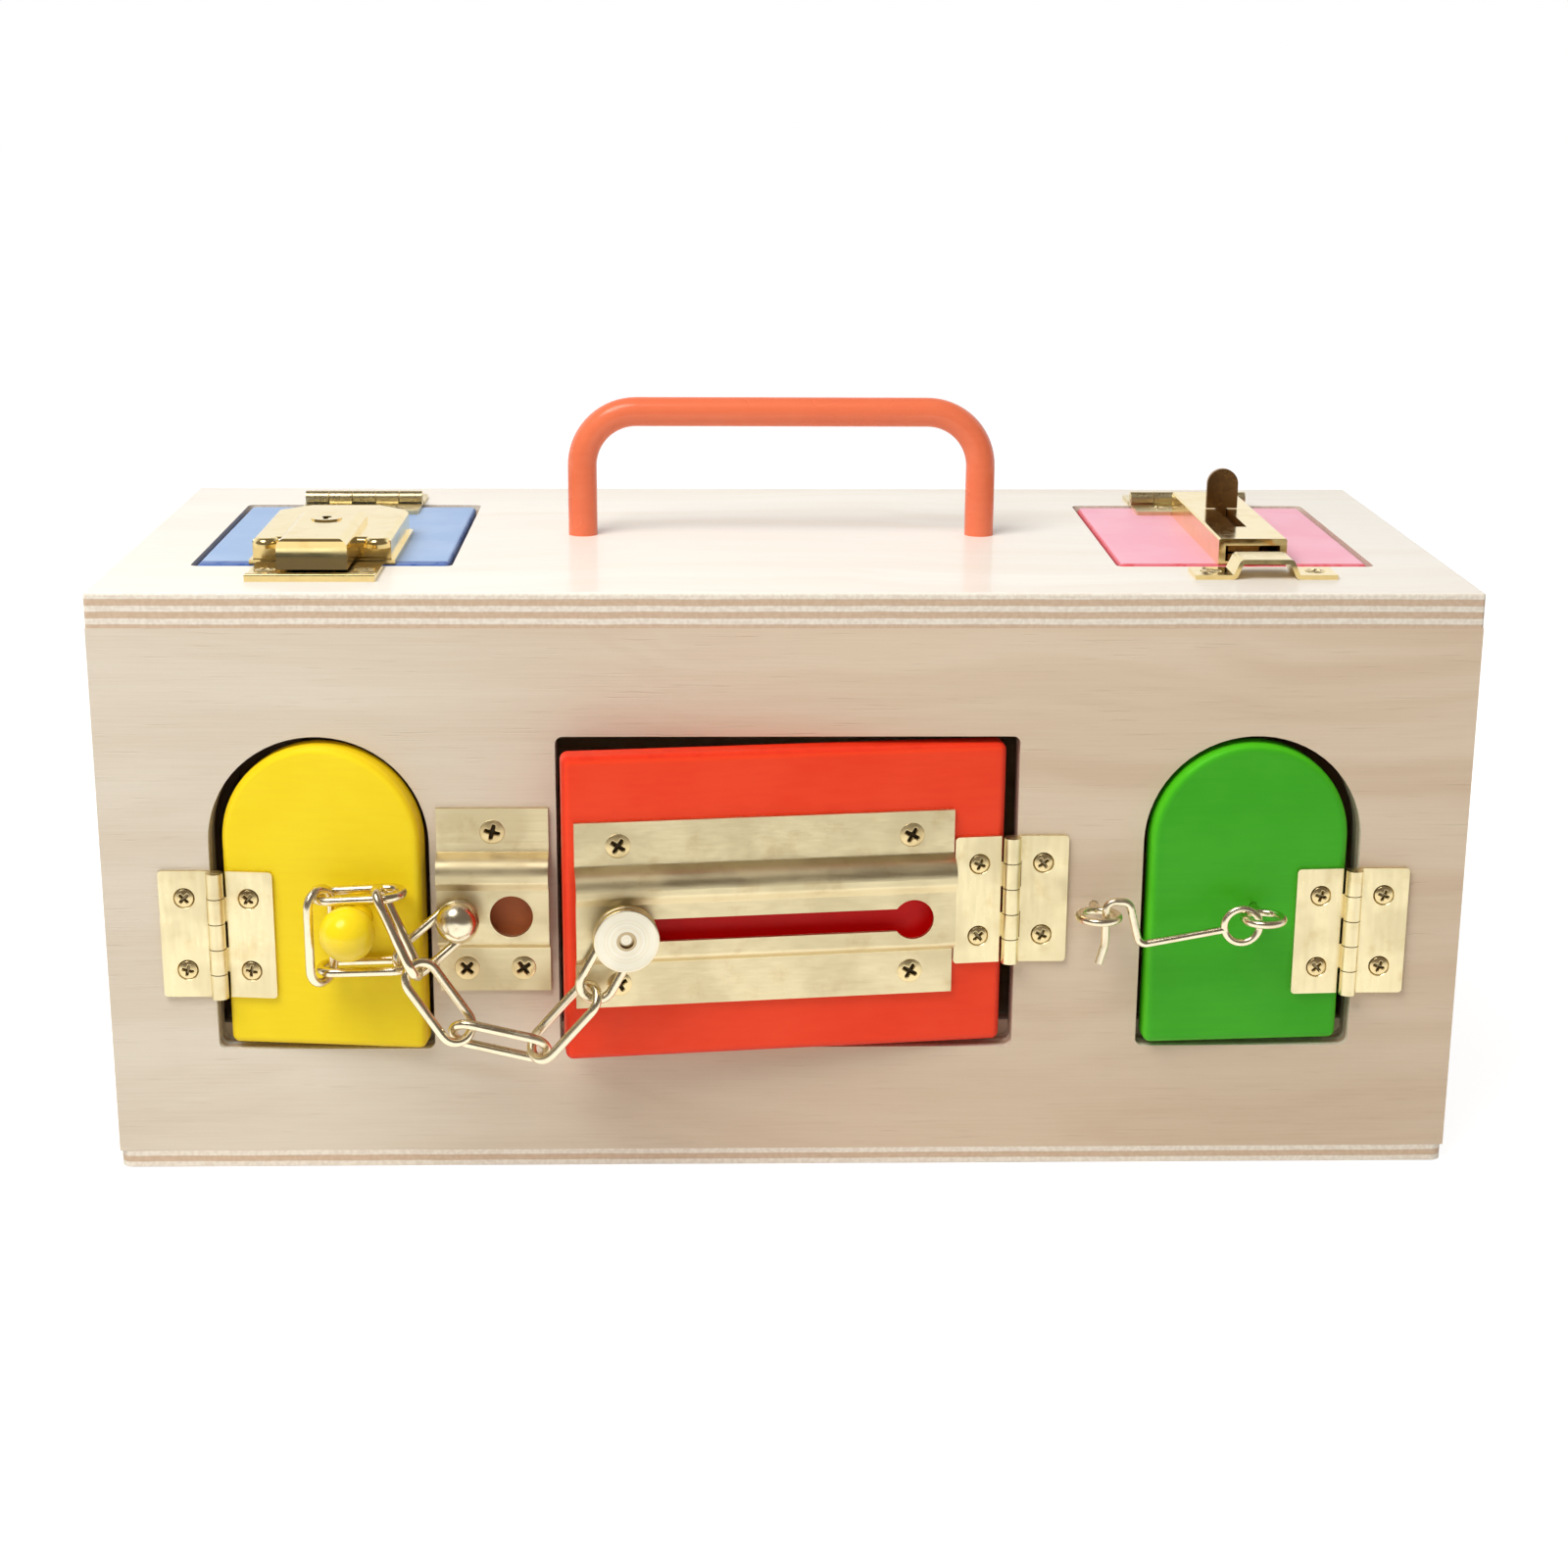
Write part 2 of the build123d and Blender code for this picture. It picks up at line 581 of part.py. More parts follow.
def gate_hook():
    """Hook that hangs by its ring on the door's eye and drops through the frame's eye."""
    eye_middle = swing_point((DOOR_EYE_X, FRONT_Y - DOOR_EYE_REACH, EYE_Z), GREEN_SWING)
    pivot = eye_middle - Vector((EYE_DIAMETER - EYE_WIRE) / 2, 0, 0)
    place = Plane(origin=pivot, x_dir=(1, 0, 0), z_dir=(0, -1, 0))
    frame_eye_x = FRAME_EYE_X - pivot.X
    ring_radius = (HOOK_RING - HOOK_WIRE) / 2
    ring = Pos(-HOOK_RING_SHIFT, -HOOK_RING_DROP) * Torus(ring_radius, HOOK_WIRE / 2)
    wire = FilletPolyline(
        (-HOOK_RING_SHIFT - ring_radius, -HOOK_RING_DROP - HOOK_WIRE / 2),
        (frame_eye_x + HOOK_CRANK_RUN, -HOOK_CRANK_DROP),
        (frame_eye_x + HOOK_CREST_RUN, HOOK_CREST_RISE),
        (frame_eye_x + HOOK_LEG_RUN, HOOK_CREST_RISE),
        (frame_eye_x + HOOK_LEG_RUN, -HOOK_LEG_DROP),
        (frame_eye_x + HOOK_TIP_RUN, -HOOK_TIP_DROP),
        radius=[HOOK_BEND_RADIUS, HOOK_BEND_RADIUS, HOOK_BEND_RADIUS, HOOK_TIP_RADIUS],
    )
    section = Plane(origin=wire @ 0, z_dir=wire % 0) * Circle(HOOK_WIRE / 2)
    return place.location * (ring + sweep(section, path=wire))


LOCK_X = -FLAP_X
FLAP_EDGE_Y = FLAP_FRONT_Y + DOOR_GAP
LOCK_FRONT_Y = FLAP_EDGE_Y + LOCK_SETBACK
LOCK_BACK_Y = LOCK_FRONT_Y + LOCK_LENGTH
NOSE_Y = LOCK_FRONT_Y - CASE_NOSE
PLUG_Y = LOCK_FRONT_Y + PLUG_DISTANCE
CRANK_SHIFT = CRANK_RADIUS * sin(radians(45))
STRIKE_BACK_Y = FLAP_FRONT_Y - STRIKE_SETBACK
STRIKE_FRONT_Y = STRIKE_BACK_Y - STRIKE_DEPTH
BOSS_SPOTS = [(LOCK_X + x, LOCK_BACK_Y - BOSS_INSET) for x in (-BOSS_SPACING / 2, BOSS_SPACING / 2)]
LOCK_SCREW_LENGTH = DOOR_THICKNESS + LOCK_PLATE + LOCK_HEIGHT - 2 * LOCK_WALL
LOCK_SEATS = [under_place(x, y, BOX_HEIGHT - DOOR_THICKNESS) for x, y in BOSS_SPOTS]


def lock_outline(growth):
    """Plan of the lock body, chamfered at the back, grown or shrunk on every side."""
    width = LOCK_WIDTH + 2 * growth
    length = LOCK_LENGTH + 2 * growth
    middle_y = (LOCK_FRONT_Y + LOCK_BACK_Y) / 2
    plan = Pos(LOCK_X, middle_y) * Rectangle(width, length)
    return chamfer(plan.vertices().group_by(Axis.Y)[-1], LOCK_CHAMFER)


def rim_edges(shape):
    """Edges round the highest flat face of a shape."""
    return shape.faces().sort_by(Axis.Z)[-1].edges()


def lock_ears():
    """Two round ears at the front corners of the lock body."""
    ear = Cylinder(EAR_RADIUS, EAR_THICKNESS, align=(Align.CENTER, Align.CENTER, Align.MAX))
    ear = fillet(rim_edges(ear), LOCK_EDGE_RADIUS)
    y = LOCK_FRONT_Y + EAR_RADIUS - EAR_REACH
    x = LOCK_WIDTH / 2 - EAR_RADIUS
    return [Pos(LOCK_X + side * x, y, BOX_HEIGHT + LOCK_HEIGHT) * ear for side in (-1, 1)]


def lock_case():
    """Hollow brass lock body with a raised case whose nose reaches over the strike."""
    floor_z = BOX_HEIGHT + LOCK_PLATE
    body = extrude(Pos(0, 0, floor_z) * lock_outline(0), LOCK_HEIGHT - LOCK_PLATE)
    body = fillet(rim_edges(body), LOCK_EDGE_RADIUS)
    room_height = LOCK_HEIGHT - LOCK_PLATE - LOCK_WALL
    hollow = extrude(Pos(0, 0, floor_z) * lock_outline(-LOCK_WALL), room_height)
    tail_y = LOCK_FRONT_Y + CASE_TAIL
    half = CASE_WIDTH / 2
    top_z = BOX_HEIGHT + CASE_HEIGHT
    case = block((LOCK_X - half, LOCK_X + half), (NOSE_Y, tail_y), (floor_z, top_z))
    scoop = Cylinder(CASE_SCOOP_RADIUS, 2 * CASE_WIDTH, rotation=(0, 90, 0))
    case = fillet(rim_edges(case), CASE_EDGE_RADIUS)
    case -= Pos(LOCK_X, NOSE_Y + CASE_SCOOP - CASE_SCOOP_RADIUS, floor_z + CASE_HEIGHT / 2) * scoop
    inner_half = half - LOCK_WALL
    room = block(
        (LOCK_X - inner_half, LOCK_X + inner_half),
        (NOSE_Y + CASE_SCOOP + LOCK_WALL, tail_y - LOCK_WALL),
        (floor_z, top_z - LOCK_WALL),
    )
    shell = body + case - hollow - room
    under_nose = block(
        (LOCK_X - CASE_WIDTH, LOCK_X + CASE_WIDTH),
        (NOSE_Y - CUT_OVERRUN, LOCK_FRONT_Y),
        (floor_z - CUT_OVERRUN, BOX_HEIGHT + NOSE_LIFT),
    )
    shell = shell - under_nose + lock_ears()
    plug_hole = Cylinder(PLUG_DIAMETER / 2 + PLUG_CLEARANCE, 2 * CASE_HEIGHT)
    shell -= Pos(LOCK_X, PLUG_Y, top_z) * plug_hole
    boss_height = LOCK_HEIGHT - LOCK_PLATE - LOCK_WALL / 2
    boss = Cylinder(BOSS_DIAMETER / 2, boss_height, align=(Align.CENTER, Align.CENTER, Align.MIN))
    shell += [Pos(x, y, floor_z) * boss for x, y in BOSS_SPOTS]
    return shell - holes_at(LOCK_SEATS, length=LOCK_SCREW_LENGTH)


def lock_plug():
    """Key plug with the crank disc and pin that drive the latch."""
    latch_top = BOX_HEIGHT + LATCH_LIFT + LATCH_THICKNESS
    disc_bottom = latch_top + CRANK_CLEARANCE
    disc_top = disc_bottom + LOCK_WALL
    plug_top = BOX_HEIGHT + CASE_HEIGHT + PLUG_PROUD
    grow_up = (Align.CENTER, Align.CENTER, Align.MIN)
    disc = Pos(0, 0, disc_bottom) * Cylinder(PLUG_DISC / 2, disc_top - disc_bottom, align=grow_up)
    plug = Pos(0, 0, disc_top) * Cylinder(PLUG_DIAMETER / 2, plug_top - disc_top, align=grow_up)
    pin_bottom = BOX_HEIGHT + LATCH_LIFT + CRANK_CLEARANCE
    pin = Cylinder(CRANK_PIN / 2, disc_bottom - pin_bottom, align=grow_up)
    keyhole = Circle(KEYHOLE_SLOT) + Pos(0, -KEYHOLE_DROP / 2) * Rectangle(KEYHOLE_SLOT, KEYHOLE_DROP)
    key_cut = extrude(Pos(0, KEYHOLE_SLOT / 2, plug_top - KEYHOLE_DEPTH) * keyhole, 2 * KEYHOLE_DEPTH)
    whole = disc + plug + Pos(CRANK_SHIFT, CRANK_SHIFT, pin_bottom) * pin - key_cut
    return Pos(LOCK_X, PLUG_Y) * whole


def lock_latch():
    """Latch plate drawn back at rest, with the cross slot that the crank pin runs in."""
    back_y = PLUG_Y + LATCH_TAIL
    front_y = back_y - LATCH_BODY
    levels = (BOX_HEIGHT + LATCH_LIFT, BOX_HEIGHT + LATCH_LIFT + LATCH_THICKNESS)
    half = LATCH_WIDTH / 2
    tongue = LATCH_TONGUE / 2
    plate = block((LOCK_X - half, LOCK_X + half), (front_y, back_y), levels)
    plate += block((LOCK_X - tongue, LOCK_X + tongue), (front_y - LATCH_TONGUE_LENGTH, front_y), levels)
    reach = CRANK_PIN / 2 + CRANK_CLEARANCE
    slot = block(
        (LOCK_X + CRANK_SHIFT - reach, LOCK_X + CRANK_RADIUS + reach),
        (PLUG_Y + CRANK_SHIFT - reach, PLUG_Y + CRANK_SHIFT + reach),
        (levels[0] - CUT_OVERRUN, levels[1] + CUT_OVERRUN),
    )
    return plate - slot


STRIKE_SEATS = [
    top_place(LOCK_X + x, STRIKE_FRONT_Y + STRIKE_SCREW_INSET, LOCK_PLATE)
    for x in (-STRIKE_SCREW_SPACING / 2, STRIKE_SCREW_SPACING / 2)
]


def lock_strike():
    """Plate on the frame with a thick front lip and the staple that the latch enters."""
    half = STRIKE_WIDTH / 2
    plate_top = BOX_HEIGHT + LOCK_PLATE
    plate_range = (LOCK_X - half, LOCK_X + half)
    plate = block(plate_range, (STRIKE_FRONT_Y, STRIKE_BACK_Y), (BOX_HEIGHT, plate_top))
    lip = block(
        plate_range,
        (STRIKE_FRONT_Y, STRIKE_FRONT_Y + STRIKE_LIP),
        (BOX_HEIGHT, BOX_HEIGHT + STRIKE_LIP),
    )
    lip = fillet(rim_edges(lip), STRIKE_LIP / 4)
    window_half = LATCH_TONGUE / 2 + STAPLE_CLEARANCE
    window_top = BOX_HEIGHT + LATCH_LIFT + LATCH_THICKNESS + CRANK_CLEARANCE
    staple_half = window_half + STAPLE_LEG
    staple_y = STRIKE_BACK_Y - STAPLE_INSET
    staple_range = (staple_y - STAPLE_THICKNESS / 2, staple_y + STAPLE_THICKNESS / 2)
    staple_top = window_top + STAPLE_LEG
    staple = block((LOCK_X - staple_half, LOCK_X + staple_half), staple_range, (plate_top, staple_top))
    window_range = (staple_y - STAPLE_THICKNESS, staple_y + STAPLE_THICKNESS)
    window = block((LOCK_X - window_half, LOCK_X + window_half), window_range, (plate_top, window_top))
    return plate + lip + (staple - window) - holes_at(STRIKE_SEATS)


BOLT_X = FLAP_X + BOLT_OFFSET
TUBE_FRONT_Y = FLAP_EDGE_Y + TUBE_END_GAP
TUBE_BACK_Y = FLAP_AXIS_Y - LEAF_WIDTH - TUBE_END_GAP
TAB_Y = TUBE_FRONT_Y + TAB_DISTANCE
BAR_FRONT_Y = TUBE_FRONT_Y + BAR_SETBACK
KEEPER_BACK_Y = TUBE_FRONT_Y - KEEPER_GAP
KEEPER_Y = KEEPER_BACK_Y - KEEPER_DEPTH / 2
TUBE_SCREW_LENGTH = DOOR_THICKNESS + TUBE_FLOOR
BAR_BOTTOM = TUBE_FLOOR + BAR_CLEARANCE
BAR_TOP = TUBE_HEIGHT - TUBE_WALL - BAR_CLEARANCE
BAR_NOSE_TOP = BAR_BOTTOM + BAR_NOSE_THICKNESS
TUBE_SEATS = [
    under_place(BOLT_X, y, BOX_HEIGHT - DOOR_THICKNESS)
    for y in (TUBE_FRONT_Y + TUBE_SCREW_INSET, TUBE_BACK_Y - TUBE_SCREW_INSET)
]
KEEPER_SEATS = [
    top_place(BOLT_X + x, KEEPER_Y, KEEPER_THICKNESS)
    for x in (-KEEPER_SCREW_SPACING / 2, KEEPER_SCREW_SPACING / 2)
]


def bolt_tube():
    """Flat guide tube that the bolt slides in, slotted along its top for the tab."""
    half = TUBE_WIDTH / 2
    inner = half - TUBE_WALL
    ends = (TUBE_FRONT_Y, TUBE_BACK_Y)
    tube = block((BOLT_X - half, BOLT_X + half), ends, (BOX_HEIGHT, BOX_HEIGHT + TUBE_HEIGHT))
    bore = block(
        (BOLT_X - inner, BOLT_X + inner),
        (TUBE_FRONT_Y - CUT_OVERRUN, TUBE_BACK_Y + CUT_OVERRUN),
        (BOX_HEIGHT + TUBE_FLOOR, BOX_HEIGHT + BAR_TOP + BAR_CLEARANCE),
    )
    slot_half = TAB_STEM / 2 + BAR_CLEARANCE
    slot = block(
        (BOLT_X - slot_half, BOLT_X + slot_half),
        (TAB_Y - BOLT_TRAVEL - TAB_THICKNESS, TAB_Y + TAB_THICKNESS),
        (BOX_HEIGHT + BAR_TOP, BOX_HEIGHT + TUBE_HEIGHT + CUT_OVERRUN),
    )
    long_edges = tube.edges().filter_by(Axis.Y).group_by(Axis.Z)[-1]
    tube = fillet(long_edges, TUBE_WALL / 3) - bore - slot
    return tube - holes_at(TUBE_SEATS, length=TUBE_SCREW_LENGTH)


def slide_bolt():
    """Flat bar with a smaller nose, and the round-headed tab that pushes it towards the keeper."""
    half = TUBE_WIDTH / 2 - TUBE_WALL - BAR_CLEARANCE
    nose_half = BAR_NOSE_WIDTH / 2
    shoulder_y = BAR_FRONT_Y + BAR_NOSE_LENGTH
    levels = (BOX_HEIGHT + BAR_BOTTOM, BOX_HEIGHT + BAR_TOP)
    nose_levels = (BOX_HEIGHT + BAR_BOTTOM, BOX_HEIGHT + BAR_NOSE_TOP)
    nose = block((BOLT_X - nose_half, BOLT_X + nose_half), (BAR_FRONT_Y, shoulder_y), nose_levels)
    nose = chamfer(nose.faces().sort_by(Axis.Y)[0].edges().filter_by(Axis.Z), nose_half / 4)
    bar = nose + block((BOLT_X - half, BOLT_X + half), (shoulder_y, TUBE_BACK_Y - BAR_TAIL), levels)
    tab_bottom = TUBE_HEIGHT + TAB_LIFT
    straight = TAB_HEIGHT - TAB_WIDTH / 2
    grow_up = (Align.CENTER, Align.MIN)
    tab = Pos(0, tab_bottom) * Rectangle(TAB_WIDTH, straight, align=grow_up)
    tab += Pos(0, tab_bottom + straight) * Circle(TAB_WIDTH / 2)
    tab += Pos(0, BAR_TOP) * Rectangle(TAB_STEM, tab_bottom - BAR_TOP, align=grow_up)
    upright = Plane(origin=(BOLT_X, TAB_Y, BOX_HEIGHT), x_dir=(1, 0, 0), z_dir=(0, -1, 0))
    return bar + extrude(upright * tab, TAB_THICKNESS / 2, both=True)


def bolt_keeper():
    """Bridged strap on the frame that the bolt slides under."""
    half = KEEPER_THICKNESS / 2
    inner = BAR_NOSE_WIDTH / 2 + BAR_CLEARANCE
    bridge_z = BAR_NOSE_TOP + BAR_CLEARANCE + half
    line = FilletPolyline(
        (-KEEPER_LENGTH / 2, half),
        (-inner - half - KEEPER_SHOULDER, half),
        (-inner - half, bridge_z),
        (inner + half, bridge_z),
        (inner + half + KEEPER_SHOULDER, half),
        (KEEPER_LENGTH / 2, half),
        radius=KEEPER_BEND_RADIUS,
    )
    upright = Plane(origin=(BOLT_X, KEEPER_Y, BOX_HEIGHT), x_dir=(1, 0, 0), z_dir=(0, -1, 0))
    strap = extrude(upright * trace(line, KEEPER_THICKNESS), KEEPER_DEPTH / 2, both=True)
    return strap - holes_at(KEEPER_SEATS)


HANDLE_X = (HANDLE_LENGTH - HANDLE_ROD) / 2
HANDLE_SIZES = {"length": HANDLE_SCREW_LENGTH, "head": HANDLE_SCREW_HEAD, "shank": HANDLE_SCREW_SHANK}
HANDLE_SEATS = [under_place(x, HANDLE_Y, UNDER_TOP_Z) for x in (-HANDLE_X, HANDLE_X)]


def carry_handle():
    """Bent rod that stands on the top panel, bored for the screws in its feet."""
    crown = HANDLE_RISE - HANDLE_ROD / 2
    corners = [(-HANDLE_X, 0), (-HANDLE_X, crown), (HANDLE_X, crown), (HANDLE_X, 0)]
    line = FilletPolyline(*corners, radius=HANDLE_BEND)
    upright = Plane(origin=(0, HANDLE_Y, BOX_HEIGHT), x_dir=(1, 0, 0), z_dir=(0, -1, 0))
    path = upright.location * line
    section = Plane(origin=path @ 0, z_dir=path % 0) * Circle(HANDLE_ROD / 2)
    return sweep(section, path=path) - holes_at(HANDLE_SEATS, **HANDLE_SIZES)


def front_openings():
    """Cutters for the two arched openings and the wide one between them."""
    arch = arched_outline(ARCH_WIDTH, OPENING_HEIGHT)
    wide = square_outline(RED_WIDTH, OPENING_HEIGHT)
    places = [(-ARCH_X, arch), (0, wide), (ARCH_X, arch)]
    return [extrude(front_place(x, SILL_HEIGHT) * outline, -2 * WALL_THICKNESS) for x, outline in places]


def flap_openings():
    """Cutters for the two openings in the top panel."""
    plan = RectangleRounded(FLAP_OPENING_WIDTH, FLAP_OPENING_DEPTH, OPENING_CORNER_RADIUS)
    middle_y = (FLAP_BACK_Y + FLAP_FRONT_Y) / 2
    return [extrude(top_place(x, middle_y) * plan, -2 * TOP_THICKNESS) for x in (-FLAP_X, FLAP_X)]


def box_panels():
    """Six glued panels of the box."""
    x_range = (-HALF_LENGTH, HALF_LENGTH)
    y_range = (FRONT_Y, -FRONT_Y)
    wall_range = (BOTTOM_THICKNESS, UNDER_TOP_Z)
    front = block(x_range, (FRONT_Y, INNER_FRONT_Y), wall_range) - front_openings()
    front_seats = HOLDER["seats"] + [
        seat for name in ("yellow", "red", "green") for seat in HINGES[name]["frame_seats"]
    ]
    front -= holes_at(front_seats)
    front -= FRAME_EYE_PLACE.location * EYE_HOLE
    top = block(x_range, y_range, (UNDER_TOP_Z, BOX_HEIGHT))
    top = fillet(rim_edges(top) + top.edges().filter_by(Axis.Z), PANEL_EDGE_RADIUS) - flap_openings()
    top -= holes_at(STRIKE_SEATS + KEEPER_SEATS)
    top -= holes_at(HINGES["blue"]["frame_seats"] + HINGES["pink"]["frame_seats"])
    top -= holes_at(HANDLE_SEATS, **HANDLE_SIZES)
    bottom = block(x_range, y_range, (0, BOTTOM_THICKNESS))
    bottom = fillet(bottom.edges().filter_by(Axis.Z), BOTTOM_CORNER_RADIUS)
    inner_y = (INNER_FRONT_Y, -INNER_FRONT_Y)
    return {
        "top_panel": top,
        "front_panel": front,
        "back_panel": block(x_range, (-INNER_FRONT_Y, -FRONT_Y), wall_range),
        "left_side_panel": block((-HALF_LENGTH, WALL_THICKNESS - HALF_LENGTH), inner_y, wall_range),
        "right_side_panel": block((HALF_LENGTH - WALL_THICKNESS, HALF_LENGTH), inner_y, wall_range),
        "bottom_panel": bottom,
    }


def closing_strips():
    """Strips behind the sills for the doors and under the front rims for the flaps."""
    sill_range = (SILL_HEIGHT - STOP_HOLD, SILL_HEIGHT + STOP_LAP)
    behind = (INNER_FRONT_Y, INNER_FRONT_Y + STOP_THICKNESS)
    spans = [(-ARCH_X, ARCH_WIDTH), (0, RED_WIDTH), (ARCH_X, ARCH_WIDTH)]
    stops = [block((x - width / 2, x + width / 2), behind, sill_range) for x, width in spans]
    rim_range = (FLAP_FRONT_Y - STOP_HOLD, FLAP_FRONT_Y + STOP_LAP)
    below = (UNDER_TOP_Z - STOP_THICKNESS, UNDER_TOP_Z)
    half = FLAP_OPENING_WIDTH / 2
    ledges = [block((x - half, x + half), rim_range, below) for x in (-FLAP_X, FLAP_X)]
    return {"door_stops": group(stops), "flap_ledges": group(ledges)}


def frame_fittings():
    """Hinge leaves, plates, eyes, keeper, strike and screws that stay on the box."""
    fittings = {f"{name}_hinge_frame_leaf": parts["frame"] for name, parts in HINGES.items()}
    fittings["hinge_pins"] = group([parts["pin"] for parts in HINGES.values()])
    hinge_seats = [seat for parts in HINGES.values() for seat in parts["frame_seats"]]
    fittings["hinge_frame_screws"] = group(screws_at(hinge_seats))
    fittings["chain_holder_plate"] = HOLDER["plate"]
    fittings["chain_holder_post"] = HOLDER["post"]
    fittings["chain_holder_screws"] = group(screws_at(HOLDER["seats"]))
    fittings["frame_screw_eye"] = FRAME_EYE_PLACE.location * screw_eye(FRAME_EYE_REACH)
    fittings["lock_strike_plate"] = lock_strike()
    fittings["bolt_keeper"] = bolt_keeper()
    fittings["top_hardware_screws"] = group(screws_at(STRIKE_SEATS + KEEPER_SEATS))
    fittings["carry_handle"] = carry_handle()
    fittings["handle_screws"] = group(screws_at(HANDLE_SEATS, **HANDLE_SIZES))
    return fittings


def yellow_door():
    """Arched door with its ball knob, turned to its resting angle."""
    width = ARCH_WIDTH - DOOR_GAP - HINGE_GAP
    free_x = -ARCH_X + ARCH_WIDTH / 2 - DOOR_GAP
    place = front_place(free_x - width / 2, SILL_HEIGHT + DOOR_GAP)
    slab = rounded_slab(arched_outline(width, OPENING_HEIGHT - 2 * DOOR_GAP), place)
    knob_place = front_place(free_x - KNOB_EDGE_DISTANCE, SILL_HEIGHT + KNOB_RISE).location
    tenon = Cylinder(
        KNOB_NECK / 2, KNOB_TENON + KNOB_REACH, align=(Align.CENTER, Align.CENTER, Align.MIN)
    )
    knob = Pos(0, 0, -KNOB_TENON) * tenon + Pos(0, 0, KNOB_REACH) * Sphere(KNOB_DIAMETER / 2)
    socket = Cylinder(KNOB_NECK / 2 + SCREW_SLACK, 2 * (KNOB_TENON + SCREW_SLACK))
    seats = HINGES["yellow"]["door_seats"]
    pieces = {
        "yellow_door_panel": slab - holes_at(seats) - knob_place * socket,
        "yellow_hinge_door_leaf": HINGES["yellow"]["door"],
        "yellow_door_screws": group(screws_at(seats)),
        "yellow_knob": knob_place * knob,
    }
    return {name: swing(shape, YELLOW_SWING) for name, shape in pieces.items()}


def red_door():
    """Wide door with the keyhole track and its sliding stud, turned to its resting angle."""
    width = RED_WIDTH - DOOR_GAP - HINGE_GAP
    free_x = -RED_WIDTH / 2 + DOOR_GAP
    place = front_place(free_x + width / 2, SILL_HEIGHT + DOOR_GAP)
    slab = rounded_slab(square_outline(width, OPENING_HEIGHT - 2 * DOOR_GAP), place)
    seats = HINGES["red"]["door_seats"] + TRACK["seats"]
    pieces = {
        "red_door_panel": slab - holes_at(seats),
        "red_hinge_door_leaf": HINGES["red"]["door"],
        "red_door_screws": group(screws_at(seats)),
        "chain_track_plate": TRACK["plate"],
        "chain_stud": TRACK["stud"],
    }
    return {name: swing(shape, RED_SWING) for name, shape in pieces.items()}


def green_door():
    """Arched door with its screw eye, turned to its resting angle, and the hook on it."""
    width = ARCH_WIDTH - DOOR_GAP - HINGE_GAP
    free_x = ARCH_X - ARCH_WIDTH / 2 + DOOR_GAP
    place = front_place(free_x + width / 2, SILL_HEIGHT + DOOR_GAP)
    slab = rounded_slab(arched_outline(width, OPENING_HEIGHT - 2 * DOOR_GAP), place)
    seats = HINGES["green"]["door_seats"]
    pieces = {
        "green_door_panel": slab - holes_at(seats) - DOOR_EYE_PLACE.location * EYE_HOLE,
        "green_hinge_door_leaf": HINGES["green"]["door"],
        "green_door_screws": group(screws_at(seats)),
        "door_screw_eye": DOOR_EYE_PLACE.location * screw_eye(DOOR_EYE_REACH),
    }
    turned = {name: swing(shape, GREEN_SWING) for name, shape in pieces.items()}
    turned["gate_hook"] = gate_hook()
    return turned


def flap_slab(x):
    """Painted flap lying in its opening, free at the front."""
    width = FLAP_OPENING_WIDTH - 2 * FLAP_SIDE_GAP
    depth = FLAP_OPENING_DEPTH - DOOR_GAP - HINGE_GAP
    plan = RectangleRounded(width, depth, OPENING_CORNER_RADIUS)
    return rounded_slab(plan, top_place(x, FLAP_EDGE_Y + depth / 2), FLAP_EDGE_RADIUS)


def blue_flap():
    """Flap with the key lock."""
    seats = HINGES["blue"]["door_seats"]
    lock_screws = {"length": LOCK_SCREW_LENGTH}
    plate = extrude(Pos(0, 0, BOX_HEIGHT) * lock_outline(LOCK_RIM), LOCK_PLATE)
    return {
        "blue_flap_panel": flap_slab(-FLAP_X) - holes_at(seats) - holes_at(LOCK_SEATS, **lock_screws),
        "blue_hinge_flap_leaf": HINGES["blue"]["door"],
        "blue_flap_screws": group(screws_at(seats) + screws_at(LOCK_SEATS, **lock_screws)),
        "lock_base_plate": plate - holes_at(LOCK_SEATS, **lock_screws),
        "lock_case": lock_case(),
        "lock_plug": lock_plug(),
        "lock_latch": lock_latch(),
    }


def pink_flap():
    """Flap with the slide bolt."""
    seats = HINGES["pink"]["door_seats"]
    tube_screws = {"length": TUBE_SCREW_LENGTH}
    return {
        "pink_flap_panel": flap_slab(FLAP_X) - holes_at(seats) - holes_at(TUBE_SEATS, **tube_screws),
        "pink_hinge_flap_leaf": HINGES["pink"]["door"],
        "pink_flap_screws": group(screws_at(seats) + screws_at(TUBE_SEATS, **tube_screws)),
        "bolt_tube": bolt_tube(),
        "slide_bolt": slide_bolt(),
    }


def chain_link(start, end, roll, start_play, end_play):
    """Oval wire link that bears on its neighbours at two points; roll 0 shows its open side in front."""
    along = (end - start).normalized()
    reach = (end - start).length + LINK_WIRE + start_play + end_play
    middle = (start + end) / 2 + along * (end_play - start_play) / 2
    front = Vector(0, 1, 0) - along * along.Y
    facing = front.normalized().rotate(Axis((0, 0, 0), along), roll)
    place = Plane(origin=middle, x_dir=along, z_dir=facing)
    path = place.location * SlotOverall(reach, LINK_WIDTH - LINK_WIRE).wire()
    section = Plane(origin=path @ 0, z_dir=path % 0) * Circle(LINK_WIRE / 2)
    return sweep(section, path=path)


